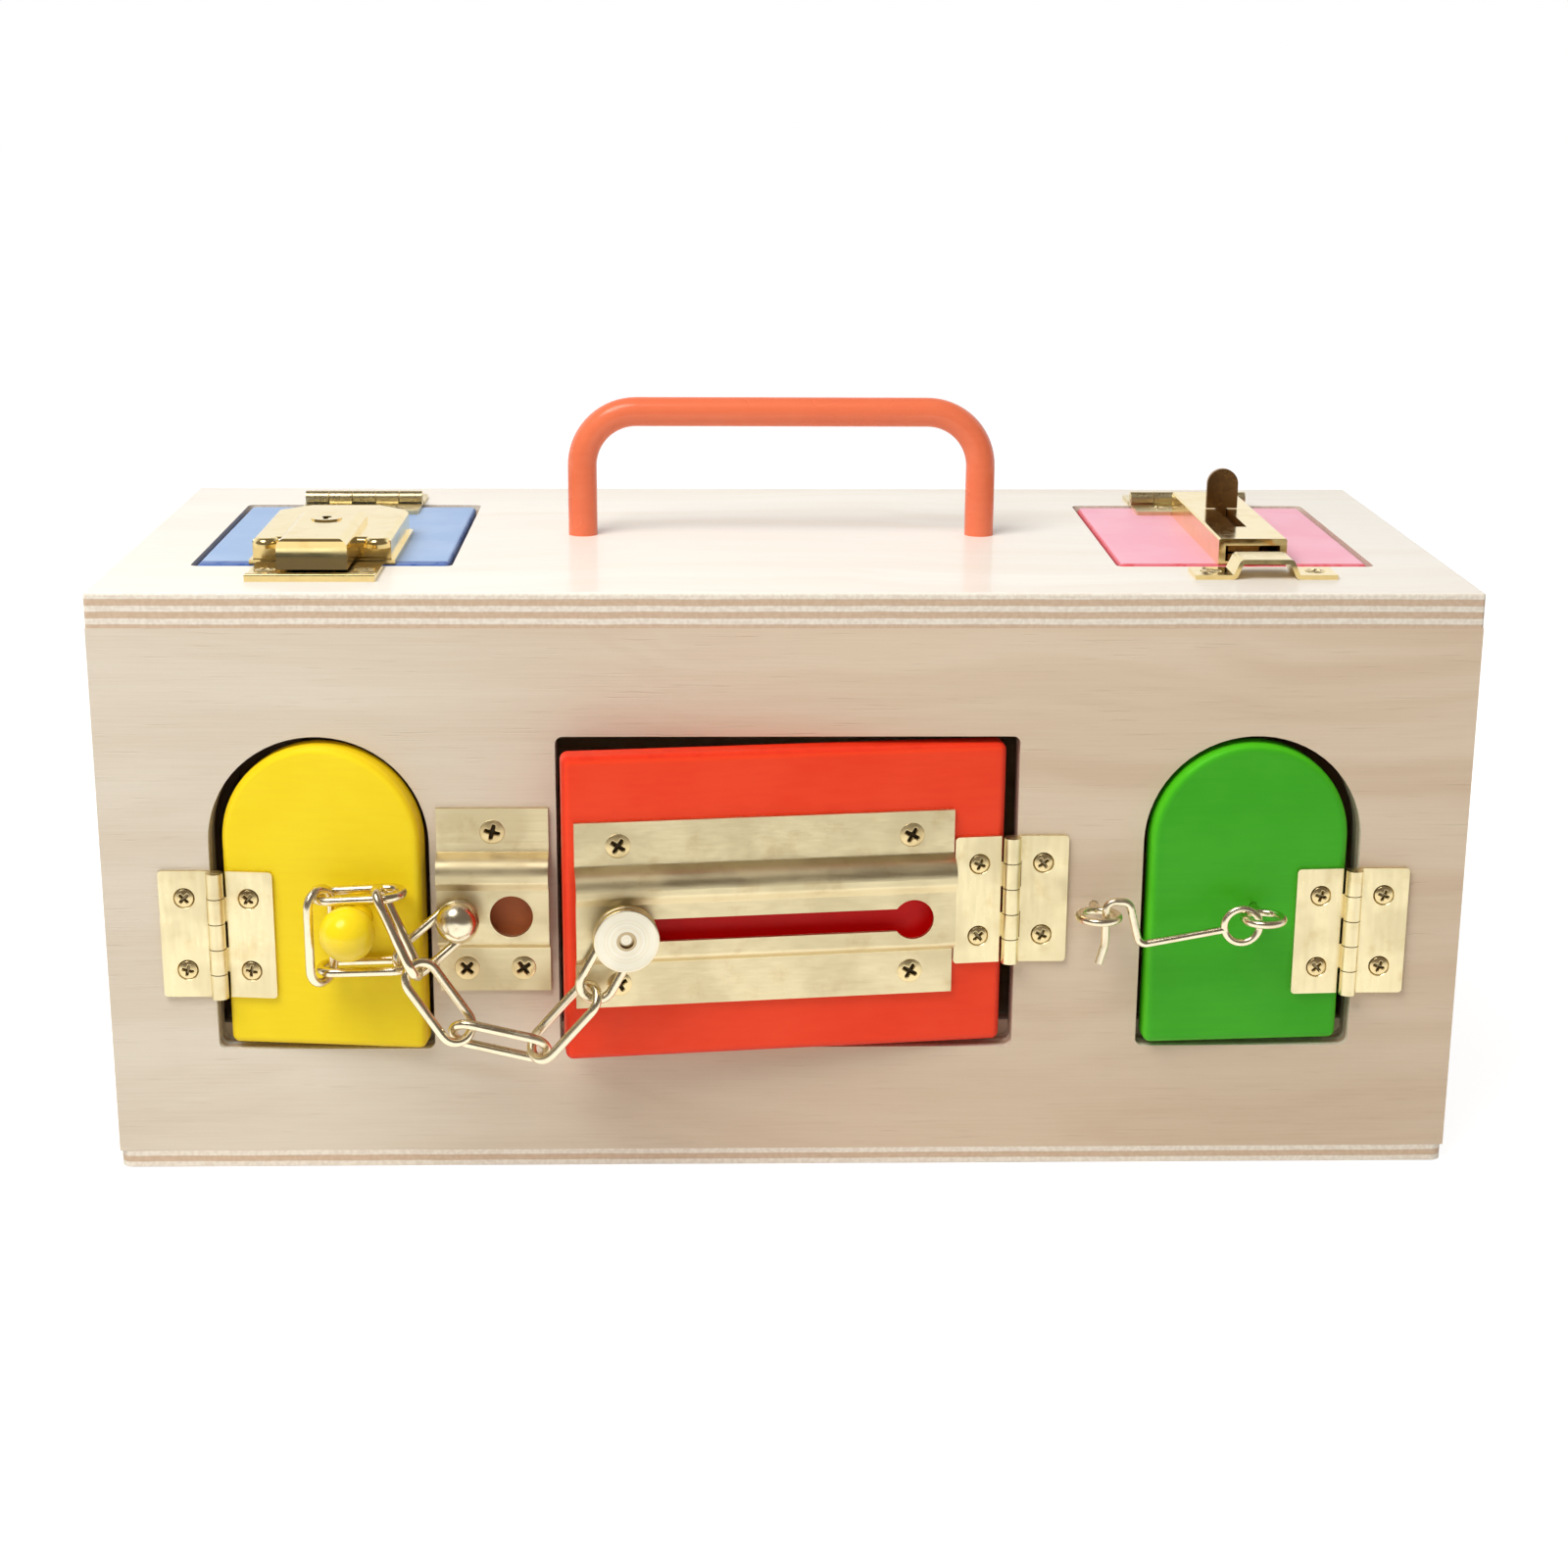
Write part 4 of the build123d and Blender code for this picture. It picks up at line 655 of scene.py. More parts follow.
@dataclass(frozen=True)
class TurnedFinish(Look):
    """Metal faced on a lathe: fine rings round an axis, a golden band at the dimple and a plated side."""

    colour: Colour
    ring: Colour
    side: Colour
    axis: Point
    centre: Point
    rings: Noise = Noise(even(2400.0), rough=0.6)
    stretch: Point = even(300.0)
    dimple_band_colour: Colour = linear(176, 146, 92)
    dimple_share: float = 0.7
    dimple_inner: float = 0.0015
    dimple_outer: float = 0.0024
    dimple_blur: float = 0.0003
    roughness: Span = (0.3, 0.4)
    relief: Span = (0.00002, 0.6)

    def fill(self, desk: MaterialDesk) -> None:
        """Lays the rings round the axis, then the side and the golden band at the dimple.

        Args:
            desk: Desk of the material.
        """
        offset = desk.vector("SUBTRACT", desk.place, self.centre)
        far = desk.vector("LENGTH", desk.vector("CROSS_PRODUCT", offset, self.axis))
        rings = self.rings.read(desk, desk.first("ShaderNodeCombineXYZ", {"X": far}))
        marks = desk.group(desk.groups.metal, Vector=desk.place, Stretch=self.stretch)
        rim = desk.group(desk.groups.rim, Normal=desk.normal, Axis=self.axis)
        colour = desk.mix(self.rings.mask(desk, rings), self.colour, self.ring)
        colour = desk.mix(rim["Side"], colour, self.side)
        inside = desk.span(far, self.dimple_inner - self.dimple_blur, self.dimple_inner)
        outside = desk.fade(far, self.dimple_outer, self.dimple_outer + self.dimple_blur)
        dimple = desk.math("MULTIPLY", inside, outside)
        colour = desk.lay(colour, self.dimple_band_colour, dimple, self.dimple_share)
        rough = desk.span(marks["Smudge"], 0.0, 1.0, *self.roughness)
        inputs = {"Base Color": colour, "Roughness": rough, "Metallic": 1.0}
        desk.complete(rings, self.relief, inputs)


def extent(node: str, axis: Axis, inset: float = 0.0) -> Span:
    """Lowest and highest place of a CAD node on an axis, less an inset at each end, in metres."""
    places = [corner[axis.value] for corner in frame["nodes"][node].bound_box]
    return min(places) + inset, max(places) - inset


def islands(node: str) -> list[np.ndarray]:
    """Corner points of each separate solid in a CAD node.

    Args:
        node: Name of the node.

    Returns:
        One array of points for each solid, in metres.
    """
    same_place = 1e-6
    mesh = bmesh.new()
    mesh.from_mesh(frame["nodes"][node].data)
    bmesh.ops.remove_doubles(mesh, verts=mesh.verts, dist=same_place)
    mesh.verts.ensure_lookup_table()
    seen: set[int] = set()
    found = []
    for first in mesh.verts:
        if first.index in seen:
            continue
        seen.add(first.index)
        queue, points = [first], []
        while queue:
            vert = queue.pop()
            points.append(vert.co[:])
            for edge in vert.link_edges:
                other = edge.other_vert(vert)
                if other.index not in seen:
                    seen.add(other.index)
                    queue.append(other)
        found.append(np.array(points))
    mesh.free()
    return found


def main_axes(points: np.ndarray) -> tuple[np.ndarray, np.ndarray]:
    """Middle and main axes of a cloud of points, the longest axis first.

    Args:
        points: The points, in metres.

    Returns:
        The middle of the points' own box, and the three axes as rows.
    """
    centre = points.mean(axis=0)
    _, _, rows = np.linalg.svd(points - centre, full_matrices=False)
    along = (points - centre) @ rows.T
    middle = centre + ((along.max(axis=0) + along.min(axis=0)) / 2) @ rows
    return middle, rows


def plain_piece(name: str, data: bpy.types.ID) -> Piece:
    """Links a new object to the scene, at the origin.

    Args:
        name: Name of the object.
        data: Its mesh, camera or light.

    Returns:
        The object.
    """
    piece = bpy.data.objects.new(name, data)
    bpy.context.scene.collection.objects.link(piece)
    return piece


def bake_nodes(name: str, mesh: bpy.types.Mesh, tree: Tree, values: dict[str, object]) -> Piece:
    """Runs a geometry node tree on a mesh and keeps what it makes as a plain piece.

    Args:
        name: Name of the plain piece.
        mesh: Mesh that the tree starts from.
        tree: The node tree.
        values: Value of each of the tree's inputs, by its name.

    Returns:
        The plain piece.
    """
    carrier = plain_piece(f"{name}_carrier", mesh)
    modifier = carrier.modifiers.new(tree.name, "NODES")
    modifier.node_group = tree
    for item in tree.interface.items_tree:
        if item.item_type == "SOCKET" and item.in_out == "INPUT" and item.name in values:
            modifier[item.identifier] = values[item.name]
    bpy.context.view_layer.update()
    evaluated = carrier.evaluated_get(bpy.context.evaluated_depsgraph_get())
    made = bpy.data.meshes.new_from_object(evaluated)
    made.name = name
    carrier.modifiers.clear()
    bpy.data.objects.remove(carrier)
    return plain_piece(name, made)


def dress(node: str, material: Material) -> None:
    """Gives a CAD node its finish.

    Args:
        node: Name of the node.
        material: Finish to give it.
    """
    mesh = frame["nodes"][node].data
    mesh.materials.clear()
    mesh.materials.append(material)
    log.info("dressed %s with %s", node, material.name)


class Palette:
    """The painted and metal finishes of the lock box, by the record's material slot."""

    flap_edge = extent("blue_flap_panel", Axis.Y)[0]
    plate_inset = 0.004
    under_plate = (
        extent("chain_track_plate", Axis.X, plate_inset), extent("chain_track_plate", Axis.Z, plate_inset))
    looks: tuple[Look, ...] = (
        PaintFinish("yellow_paint", linear(250, 221, 30), linear(242, 204, 14), linear(228, 188, 8)),
        PaintFinish(
            "red_paint", linear(250, 72, 34), linear(238, 48, 18), linear(204, 28, 12),
            shift=(0.3, 0.1, 0.7), shaded=under_plate),
        # The green rim, lighter than the face, is a painted highlight on the door's edges.
        PaintFinish(
            "green_paint", linear(66, 178, 28), linear(48, 158, 18), linear(84, 200, 14),
            shift=(0.9, 0.4, 0.2)),
        PaintFinish(
            "blue_paint", linear(160, 186, 222), linear(146, 174, 214), linear(22, 72, 152), Axis.Z,
            shift=(0.2, 0.8, 0.5), rim_share=1.0, front_edge=flap_edge, edge_width=0.005),
        PaintFinish(
            "pink_paint", linear(253, 181, 198), linear(248, 168, 187), linear(222, 52, 58), Axis.Z,
            shift=(0.6, 0.6, 0.1), rim_share=0.9, front_edge=flap_edge),
        PaintFinish(
            "orange_paint", linear(236, 120, 80), linear(226, 100, 60), linear(236, 120, 80),
            shift=(0.5, 0.2, 0.9), roughness=0.24, rim_share=0.0, specular=0.5),
        PaintFinish(
            "knob_paint", linear(252, 220, 24), linear(246, 206, 10), linear(252, 220, 24),
            shift=(0.1, 0.9, 0.3), roughness=0.22, rim_share=0.0, specular=0.5),
        BrassFinish(
            "hinge_brass", linear(238, 223, 178), linear(212, 182, 120), (900.0, 900.0, 90.0),
            roughness=0.26, spread=0.14),
        BrassFinish(
            "plate_brass", linear(228, 213, 171), linear(200, 172, 120), (22.0, 1600.0, 1600.0),
            roughness=0.34, spread=0.14, relief=(0.00004, 0.5)),
        BrassFinish(
            "polished_brass", linear(250, 228, 164), linear(222, 182, 104), even(260.0),
            roughness=0.09, spread=0.1, relief=(0.000012, 0.5), tarnish_share=0.25),
        BrassFinish(
            "wire_brass", linear(238, 226, 196), linear(206, 180, 134), even(420.0),
            roughness=0.16, spread=0.12),
        BrassFinish(
            "aged_brass", linear(168, 130, 84), linear(120, 84, 46), even(300.0),
            roughness=0.2, spread=0.14),
        BrassFinish(
            "screw_brass", linear(230, 208, 156), linear(176, 138, 82), even(700.0),
            roughness=0.22, spread=0.16, tarnish_share=0.45, recessed=True),
    )

    def __init__(self) -> None:
        """Builds the finishes."""
        self.groups = SurfaceGroups()
        self.slots = {look.name: look.build(self.groups) for look in self.looks}


@dataclass
class PlyBox:
    """The six glued panels and the inside strips."""

    palette: Palette
    layers: int = 5
    thin_layers: int = 3
    top_layers: float = 5.6
    top_skipped: float = 0.6
    top_coat: float = 0.3
    holder_hole: Point = (-0.07055, -0.078, 0.07085)
    # Painted light on the front panel's left end and painted shade on its right end.
    painted_left_light: Colour = (1.015, 1.09, 1.17, 1.0)
    painted_right_shade: Colour = (0.92, 0.88, 0.845, 1.0)

    def build(self) -> None:
        """Dresses the panels."""
        for look in self._looks():
            dress(look.node, look.build(self.palette.groups))

    def _looks(self) -> tuple[PlyFinish, ...]:
        """Plywood of each panel.

        Returns:
            The looks, which name their panels.
        """
        x, y, z = Axis
        return (
            # The top's paler face, band and tint colours are painted light: a lit copy of the same birch, as
            # the top faces up to the lamp.
            PlyFinish(
                "ply_top", "top_panel", z, self.top_layers, self.top_skipped, coat=self.top_coat,
                face=linear(250, 244, 232), band=linear(243, 231, 214), tint=linear(246, 237, 224)),
            PlyFinish(
                "ply_front", "front_panel", y, self.layers, shift=(0.17, 0.4, 0.23),
                hole_shade_place=self.holder_hole, painted_falloff_ends=(self.painted_left_light, self.painted_right_shade)),
            PlyFinish("ply_back", "back_panel", y, self.layers, shift=(0.61, 0.1, 0.52)),
            PlyFinish(
                "ply_left", "left_side_panel", x, self.layers, shift=(0.2, 0.7, 0.1), grain=Grain.ALONG_Y),
            PlyFinish(
                "ply_right", "right_side_panel", x, self.layers, shift=(0.8, 0.3, 0.4), grain=Grain.ALONG_Y),
            PlyFinish("ply_bottom", "bottom_panel", z, self.thin_layers, shift=(0.35, 0.9, 0.6)),
            PlyFinish("ply_stops", "door_stops", y, self.thin_layers, shift=(0.5, 0.2, 0.8)),
            PlyFinish("ply_ledges", "flap_ledges", z, self.thin_layers, shift=(0.1, 0.6, 0.3)),
        )


@dataclass
class PlainFittings:
    """Painted slabs and metal fittings whose solids already have the right shape."""

    palette: Palette
    own: dict[str, str] = field(default_factory=lambda: {
        "slide_bolt": "aged_brass", "yellow_knob": "knob_paint", "chain_holder_post": "wire_brass"})
    skipped_slots: tuple[str, ...] = ("birch_plywood", "screw_brass")
    stud_axis: Point = (0.1219, -0.9925, 0.0)

    def build(self) -> None:
        """Gives each node the finish that the record names for it, and some nodes one of their own."""
        for part in frame["record"]["subparts"]:
            slot = part["material_slot"]
            if slot not in self.skipped_slots:
                dress(part["node"], self.palette.slots[slot])
        for node, slot in self.own.items():
            dress(node, self.palette.slots[slot])
        centre = tuple(float(value) for value in islands("chain_stud")[0].mean(axis=0))
        turned = TurnedFinish(
            "turned_brass", linear(240, 234, 216), linear(231, 221, 194), linear(238, 214, 150),
            self.stud_axis, centre)
        dress("chain_stud", turned.build(self.palette.groups))


@dataclass
class ScrewSet:
    """Cross-headed screws in place of the plain ones of each screw node.

    The head's and the cross's sizes are shares of the head's radius.
    """

    palette: Palette
    rings: int = 18
    sectors: int = 72
    shank_sectors: int = 16
    plate_head_share: float = 1.18
    other_head_share: float = 0.88
    # Strength of the painted shade in the cross, on plate screws and on the others.
    plate_cross_tone: float = 0.97
    other_cross_tone: float = 0.72
    plate_end: float = 0.04
    plate_nodes: tuple[str, ...] = ("chain_holder_screws", "red_door_screws")
    rim_depth: float = 0.06
    cone_depth: float = 0.58
    cone_end: float = 0.42
    dome: float = 0.085
    cross_reach: float = 0.62
    cross_half_width: float = 0.15
    cross_root: float = 1.15
    cross_taper: float = 0.35
    cross_depth: float = 0.38
    side_slope: float = 0.05
    end_slope: float = 0.08
    rim_band: float = 0.98
    tip_band: float = 0.1
    seed: int = 4
    nodes: tuple[str, ...] = (
        "hinge_frame_screws", "chain_holder_screws", "top_hardware_screws", "yellow_door_screws",
        "red_door_screws", "green_door_screws", "blue_flap_screws", "pink_flap_screws", "handle_screws",
    )

    def build(self) -> None:
        """Builds the screws of every screw node and puts them on their bodies."""
        head, shank, tree = self._head(), self._shank(), self._tree()
        material = self.palette.slots["screw_brass"]
        values = {"Head": head, "Shank": shank, "Seed": self.seed, "Material": material}
        for node in self.nodes:
            piece = bake_nodes(f"cross_head_{node}", self._spots(node), tree, values)
            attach(piece, frame["nodes"][node]["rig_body"])
            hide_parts(node)
            log.info("made %s", piece.name)
        for template in (head, shank):
            bpy.data.objects.remove(template)

    def _recess(self, x: float, y: float) -> float:
        """Share of the cross at a spot of a head of radius 1.

        Args:
            x: Place of the spot along one arm.
            y: Place of the spot along the other arm.

        Returns:
            0 on the dome, 1 at the cross's floor.
        """
        taper = self.cross_taper * math.hypot(x, y) / self.cross_reach
        half = self.cross_half_width * (self.cross_root - taper)
        shares = []
        for across, along in ((abs(x), abs(y)), (abs(y), abs(x))):
            slopes = (half - across) / self.side_slope, (self.cross_reach - along) / self.end_slope
            shares.append(math.prod(min(max(slope + 0.5, 0.0), 1.0) for slope in slopes))
        return max(shares)

    def _level(self, x: float, y: float) -> float:
        """Height of the head's top over its rim, for a head of radius 1."""
        dome = 2 * self.dome * (1.0 - x * x - y * y)
        return dome + self._recess(x, y) * (self.dome - self.cross_depth - dome)

    def _head(self) -> Piece:
        """Domed head of radius 1 with its cross recess and the cone below it.

        Returns:
            A template object, which is removed after use.
        """
        shape = bmesh.new()
        mark = shape.verts.layers.float.new(RECESS_MARK)
        angles = [2 * math.pi * step / self.sectors for step in range(self.sectors)]
        circle = [(math.cos(angle), math.sin(angle)) for angle in angles]
        centre = shape.verts.new((0.0, 0.0, self._level(0.0, 0.0)))
        loops = []
        for ring in range(1, self.rings + 1):
            far = ring / self.rings
            spots = [(far * x, far * y) for x, y in circle]
            loops.append([shape.verts.new((x, y, self._level(x, y))) for x, y in spots])
        for far, level in ((1.0, -self.rim_depth), (self.cone_end, -self.cone_depth)):
            loops.append([shape.verts.new((far * x, far * y, level)) for x, y in circle])
        for step in range(self.sectors):
            after = (step + 1) % self.sectors
            shape.faces.new((centre, loops[0][step], loops[0][after]))
            for inner, outer in zip(loops, loops[1:]):
                shape.faces.new((inner[step], outer[step], outer[after], inner[after]))
        shape.faces.new(list(reversed(loops[-1])))
        # The recess mark that the screw finish darkens as painted shade in the cross.
        for vert in [centre] + sum(loops[:self.rings], []):
            vert[mark] = self._recess(vert.co.x, vert.co.y)
        return self._template("screw_head_template", shape)

    def _shank(self) -> Piece:
        """Straight shank of radius 1 and length 1, pointing down.

        Returns:
            A template object, which is removed after use.
        """
        shape = bmesh.new()
        bmesh.ops.create_cone(
            shape, cap_ends=True, segments=self.shank_sectors, radius1=1.0, radius2=1.0, depth=1.0,
            matrix=Matrix.Translation((0.0, 0.0, -0.5)))
        return self._template("screw_shank_template", shape)

    @staticmethod
    def _template(name: str, shape: bmesh.types.BMesh) -> Piece:
        """Makes a smooth template object from a mesh.

        Args:
            name: Name of the template.
            shape: The mesh, which is freed.

        Returns:
            The template.
        """
        bmesh.ops.recalc_face_normals(shape, faces=shape.faces)
        for face in shape.faces:
            face.smooth = True
        mesh = bpy.data.meshes.new(name)
        shape.to_mesh(mesh)
        shape.free()
        return plain_piece(name, mesh)

    def _tree(self) -> Tree:
        """Node tree that stands a head and a shank on each point, turned at random.

        Returns:
            The tree.
        """
        desk, given = NodeDesk.start_group(
            "screw_row", "Geometry",
            Geometry="Geometry", Head="Object", Shank="Object", Seed="Int", Material="Material")
        inputs = {"Vector": self._attribute(desk, "axis")}
        aim = desk.first("FunctionNodeAlignRotationToVector", inputs, axis="Z")
        inputs = {2: 0.0, 3: 2 * math.pi, "Seed": given["Seed"]}
        turn = desk.add("FunctionNodeRandomValue", inputs, data_type="FLOAT").outputs[1]
        spin = desk.first("FunctionNodeAxisAngleToRotation", {"Axis": Axis.Z.vector, "Angle": turn})
        pose = desk.first("FunctionNodeRotateRotation", {0: aim, 1: spin}, rotation_space="LOCAL")
        stands = {}
        for title, size in (("Head", "head_size"), ("Shank", "shank_size")):
            shown = desk.add("GeometryNodeObjectInfo", {"Object": given[title]}).outputs["Geometry"]
            inputs = {
                "Points": given["Geometry"], "Instance": shown,
                "Rotation": pose, "Scale": self._attribute(desk, size),
            }
            stands[title] = desk.first("GeometryNodeInstanceOnPoints", inputs)
        inputs = {"Instances": stands["Shank"], "Translation": self._attribute(desk, "shank_drop")}
        stands["Shank"] = desk.first("GeometryNodeTranslateInstances", inputs)
        joined = desk.add("GeometryNodeJoinGeometry")
        for stand in stands.values():
            desk.feed(joined.inputs[0], stand)
        return desk.end_geometry(joined.outputs[0], given["Material"])

    @staticmethod
    def _attribute(desk: NodeDesk, name: str) -> Socket:
        """Reads a point attribute, a vector, by its name."""
        node = desk.add("GeometryNodeInputNamedAttribute", {"Name": name}, data_type="FLOAT_VECTOR")
        return node.outputs["Attribute"]

    def _spots(self, node: str) -> bpy.types.Mesh:
        """One point for each screw of a node, with the screw's sizes as attributes.

        Args:
            node: Name of the plain screws' node.

        Returns:
            A mesh of points.
        """
        screws = [self._measure(node, points) for points in islands(node)]
        mesh = bpy.data.meshes.new(f"{node}_points")
        mesh.from_pydata([tuple(screw.pop("spot")) for screw in screws], [], [])
        for name in screws[0]:
            values = np.array([screw[name] for screw in screws], np.float32)
            mesh.attributes.new(name, "FLOAT_VECTOR", "POINT").data.foreach_set("vector", values.ravel())
        return mesh

    def _measure(self, node: str, points: np.ndarray) -> dict[str, object]:
        """Takes a screw's place and sizes from its plain solid.

        Args:
            node: Name of the plain screws' node.
            points: The solid's points, in metres.

        Returns:
            The spot under the head's rim, and the attributes that the node tree reads.
        """
        middle, rows = main_axes(points)
        axis = rows[0]
        along = (points - middle) @ axis
        away = np.linalg.norm((points - middle) - np.outer(along, axis), axis=1)
        radius = away.max()
        on_rim = away > radius * self.rim_band
        if along[on_rim].mean() < 0.0:
            axis, along = -axis, -along
        rim = along[on_rim].mean()
        thin = away[along < along.min() + radius * self.tip_band].max()
        drop = radius * self.cone_depth
        length = rim - drop - along.min()
        on_plate = node in self.plate_nodes and middle[0] < self.plate_end
        wide = radius * (self.plate_head_share if on_plate else self.other_head_share)
        return {
            "spot": middle + axis * rim,
            "axis": axis,
            "head_size": (wide, wide, radius),
            "shank_size": (thin, thin, length),
            "shank_drop": (0.0, 0.0, -drop / length),
            RECESS_TONE: even(self.plate_cross_tone if on_plate else self.other_cross_tone),
        }


class ChainPoint(Enum):
    """Places that the chain passes, in metres."""

    POST = (-0.082, -0.0846, 0.0726)
    UNDER_KNOB = (-0.1174, -0.0871, 0.0588)
    OVER_KNOB = (-0.1177, -0.0882, 0.0781)
    CROSSING = (-0.0938, -0.0971, 0.0615)
    LOWEST = (-0.0631, -0.098, 0.0405)
    STUD = (-0.0399, -0.0967, 0.0732)


@dataclass(frozen=True)
class ChainRun:
    """Links of the chain that follow one body, or that run from one body to a second and are left unattached.
    """

    links: tuple[int, ...]
    first: str
    second: str = ""
    start: ChainPoint | None = None
    end: ChainPoint | None = None


@dataclass
class DoorChain:
    """Welded oval links of the door chain, each where its plain solid is."""

    palette: Palette
    wire: float = 0.0024
    weld: float = 0.16
    weld_core: float = 0.15
    weld_end: float = 0.75
    bend_share: float = 0.4999
    bend_steps: int = 14
    wire_steps: int = 14
    rings_a_wire: float = 2.5
    runs: tuple[ChainRun, ...] = (
        ChainRun((1, 2), "box", "yellow_door", ChainPoint.POST, ChainPoint.UNDER_KNOB),
        ChainRun((3,), "yellow_door"),
        ChainRun((4, 5), "box", "yellow_door", ChainPoint.CROSSING, ChainPoint.OVER_KNOB),
        ChainRun((6, 7), "box", "red_door", ChainPoint.CROSSING, ChainPoint.LOWEST),
        ChainRun((8, 9), "red_door", "chain_stud", ChainPoint.LOWEST, ChainPoint.STUD),
    )

    def build(self) -> None:
        """Builds the links and puts those that follow one body on it."""
        tree = self._tree()
        for run in self.runs:
            for number in run.links:
                node = f"door_chain_link_{number}"
                piece = self._link(f"welded_link_{number}", node, tree, self.palette.slots["wire_brass"])
                if run.second:
                    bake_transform(piece)
                else:
                    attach(piece, run.first)
                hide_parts(node)
                log.info("made %s", piece.name)

    def _tree(self) -> Tree:
        """Node tree that bends round wire into an oval link with a weld on one side.

        Returns:
            The tree.
        """
        desk, given = NodeDesk.start_group(
            "oval_link", "Geometry", Geometry="Geometry", Length="Float", Width="Float", Wire="Float",
            Weld="Float", Bends="Int", Sides="Int", Material="Material")
        wire = given["Wire"]
        wide = desk.math("SUBTRACT", given["Width"], wire)
        inputs = {"Width": desk.math("SUBTRACT", given["Length"], wire), "Height": wide}
        oblong = desk.first("GeometryNodeCurvePrimitiveQuadrilateral", inputs)
        inputs = {
            "Curve": oblong, "Radius": desk.math("MULTIPLY", wide, self.bend_share),
            "Count": given["Bends"], "Limit Radius": True,
        }
        oval = desk.first("GeometryNodeFilletCurve", inputs, mode="POLY")
        inputs = {"Curve": oval, "Length": desk.math("DIVIDE", wire, self.rings_a_wire)}
        stepped = desk.first("GeometryNodeResampleCurve", inputs, mode="LENGTH")
        spot = desk.parts(desk.first("GeometryNodeInputPosition"))
        beside = desk.math("LESS_THAN", spot["Y"], 0.0)
        near = desk.math("DIVIDE", desk.math("ABSOLUTE", spot["X"]), wire)
        hump = desk.math("MULTIPLY", desk.fade(near, self.weld_core, self.weld_end), beside)
        swell = desk.math("MULTIPLY_ADD", hump, given["Weld"], 1.0)
        swollen = desk.first("GeometryNodeSetCurveRadius", {"Curve": stepped, "Radius": swell})
        inputs = {"Resolution": given["Sides"], "Radius": desk.math("MULTIPLY", wire, 0.5)}
        section = desk.first("GeometryNodeCurvePrimitiveCircle", inputs, mode="RADIUS")
        inputs = {"Curve": swollen, "Profile Curve": section}
        tube = desk.first("GeometryNodeCurveToMesh", inputs)
        smooth = desk.first("GeometryNodeSetShadeSmooth", {"Geometry": tube})
        return desk.end_geometry(smooth, given["Material"])

    def _link(self, name: str, node: str, tree: Tree, material: Material) -> Piece:
        """Builds one link in the place of its plain solid.

        Args:
            name: Name of the link.
            node: Name of the plain link.
            tree: The link's node tree.
            material: Finish of the wire.

        Returns:
            The link, in place.
        """
        points = islands(node)[0]
        middle, rows = main_axes(points)
        length, width, _ = np.ptp((points - middle) @ rows.T, axis=0)
        values = {
            "Length": float(length), "Width": float(width), "Wire": self.wire, "Weld": self.weld,
            "Bends": self.bend_steps, "Sides": self.wire_steps, "Material": material,
        }
        piece = bake_nodes(name, bpy.data.meshes.new(f"{name}_start"), tree, values)
        turn = Matrix((rows[0], rows[1], np.cross(rows[0], rows[1]))).transposed().to_4x4()
        piece.data.transform(Matrix.Translation(Vector(middle)) @ turn)
        return piece


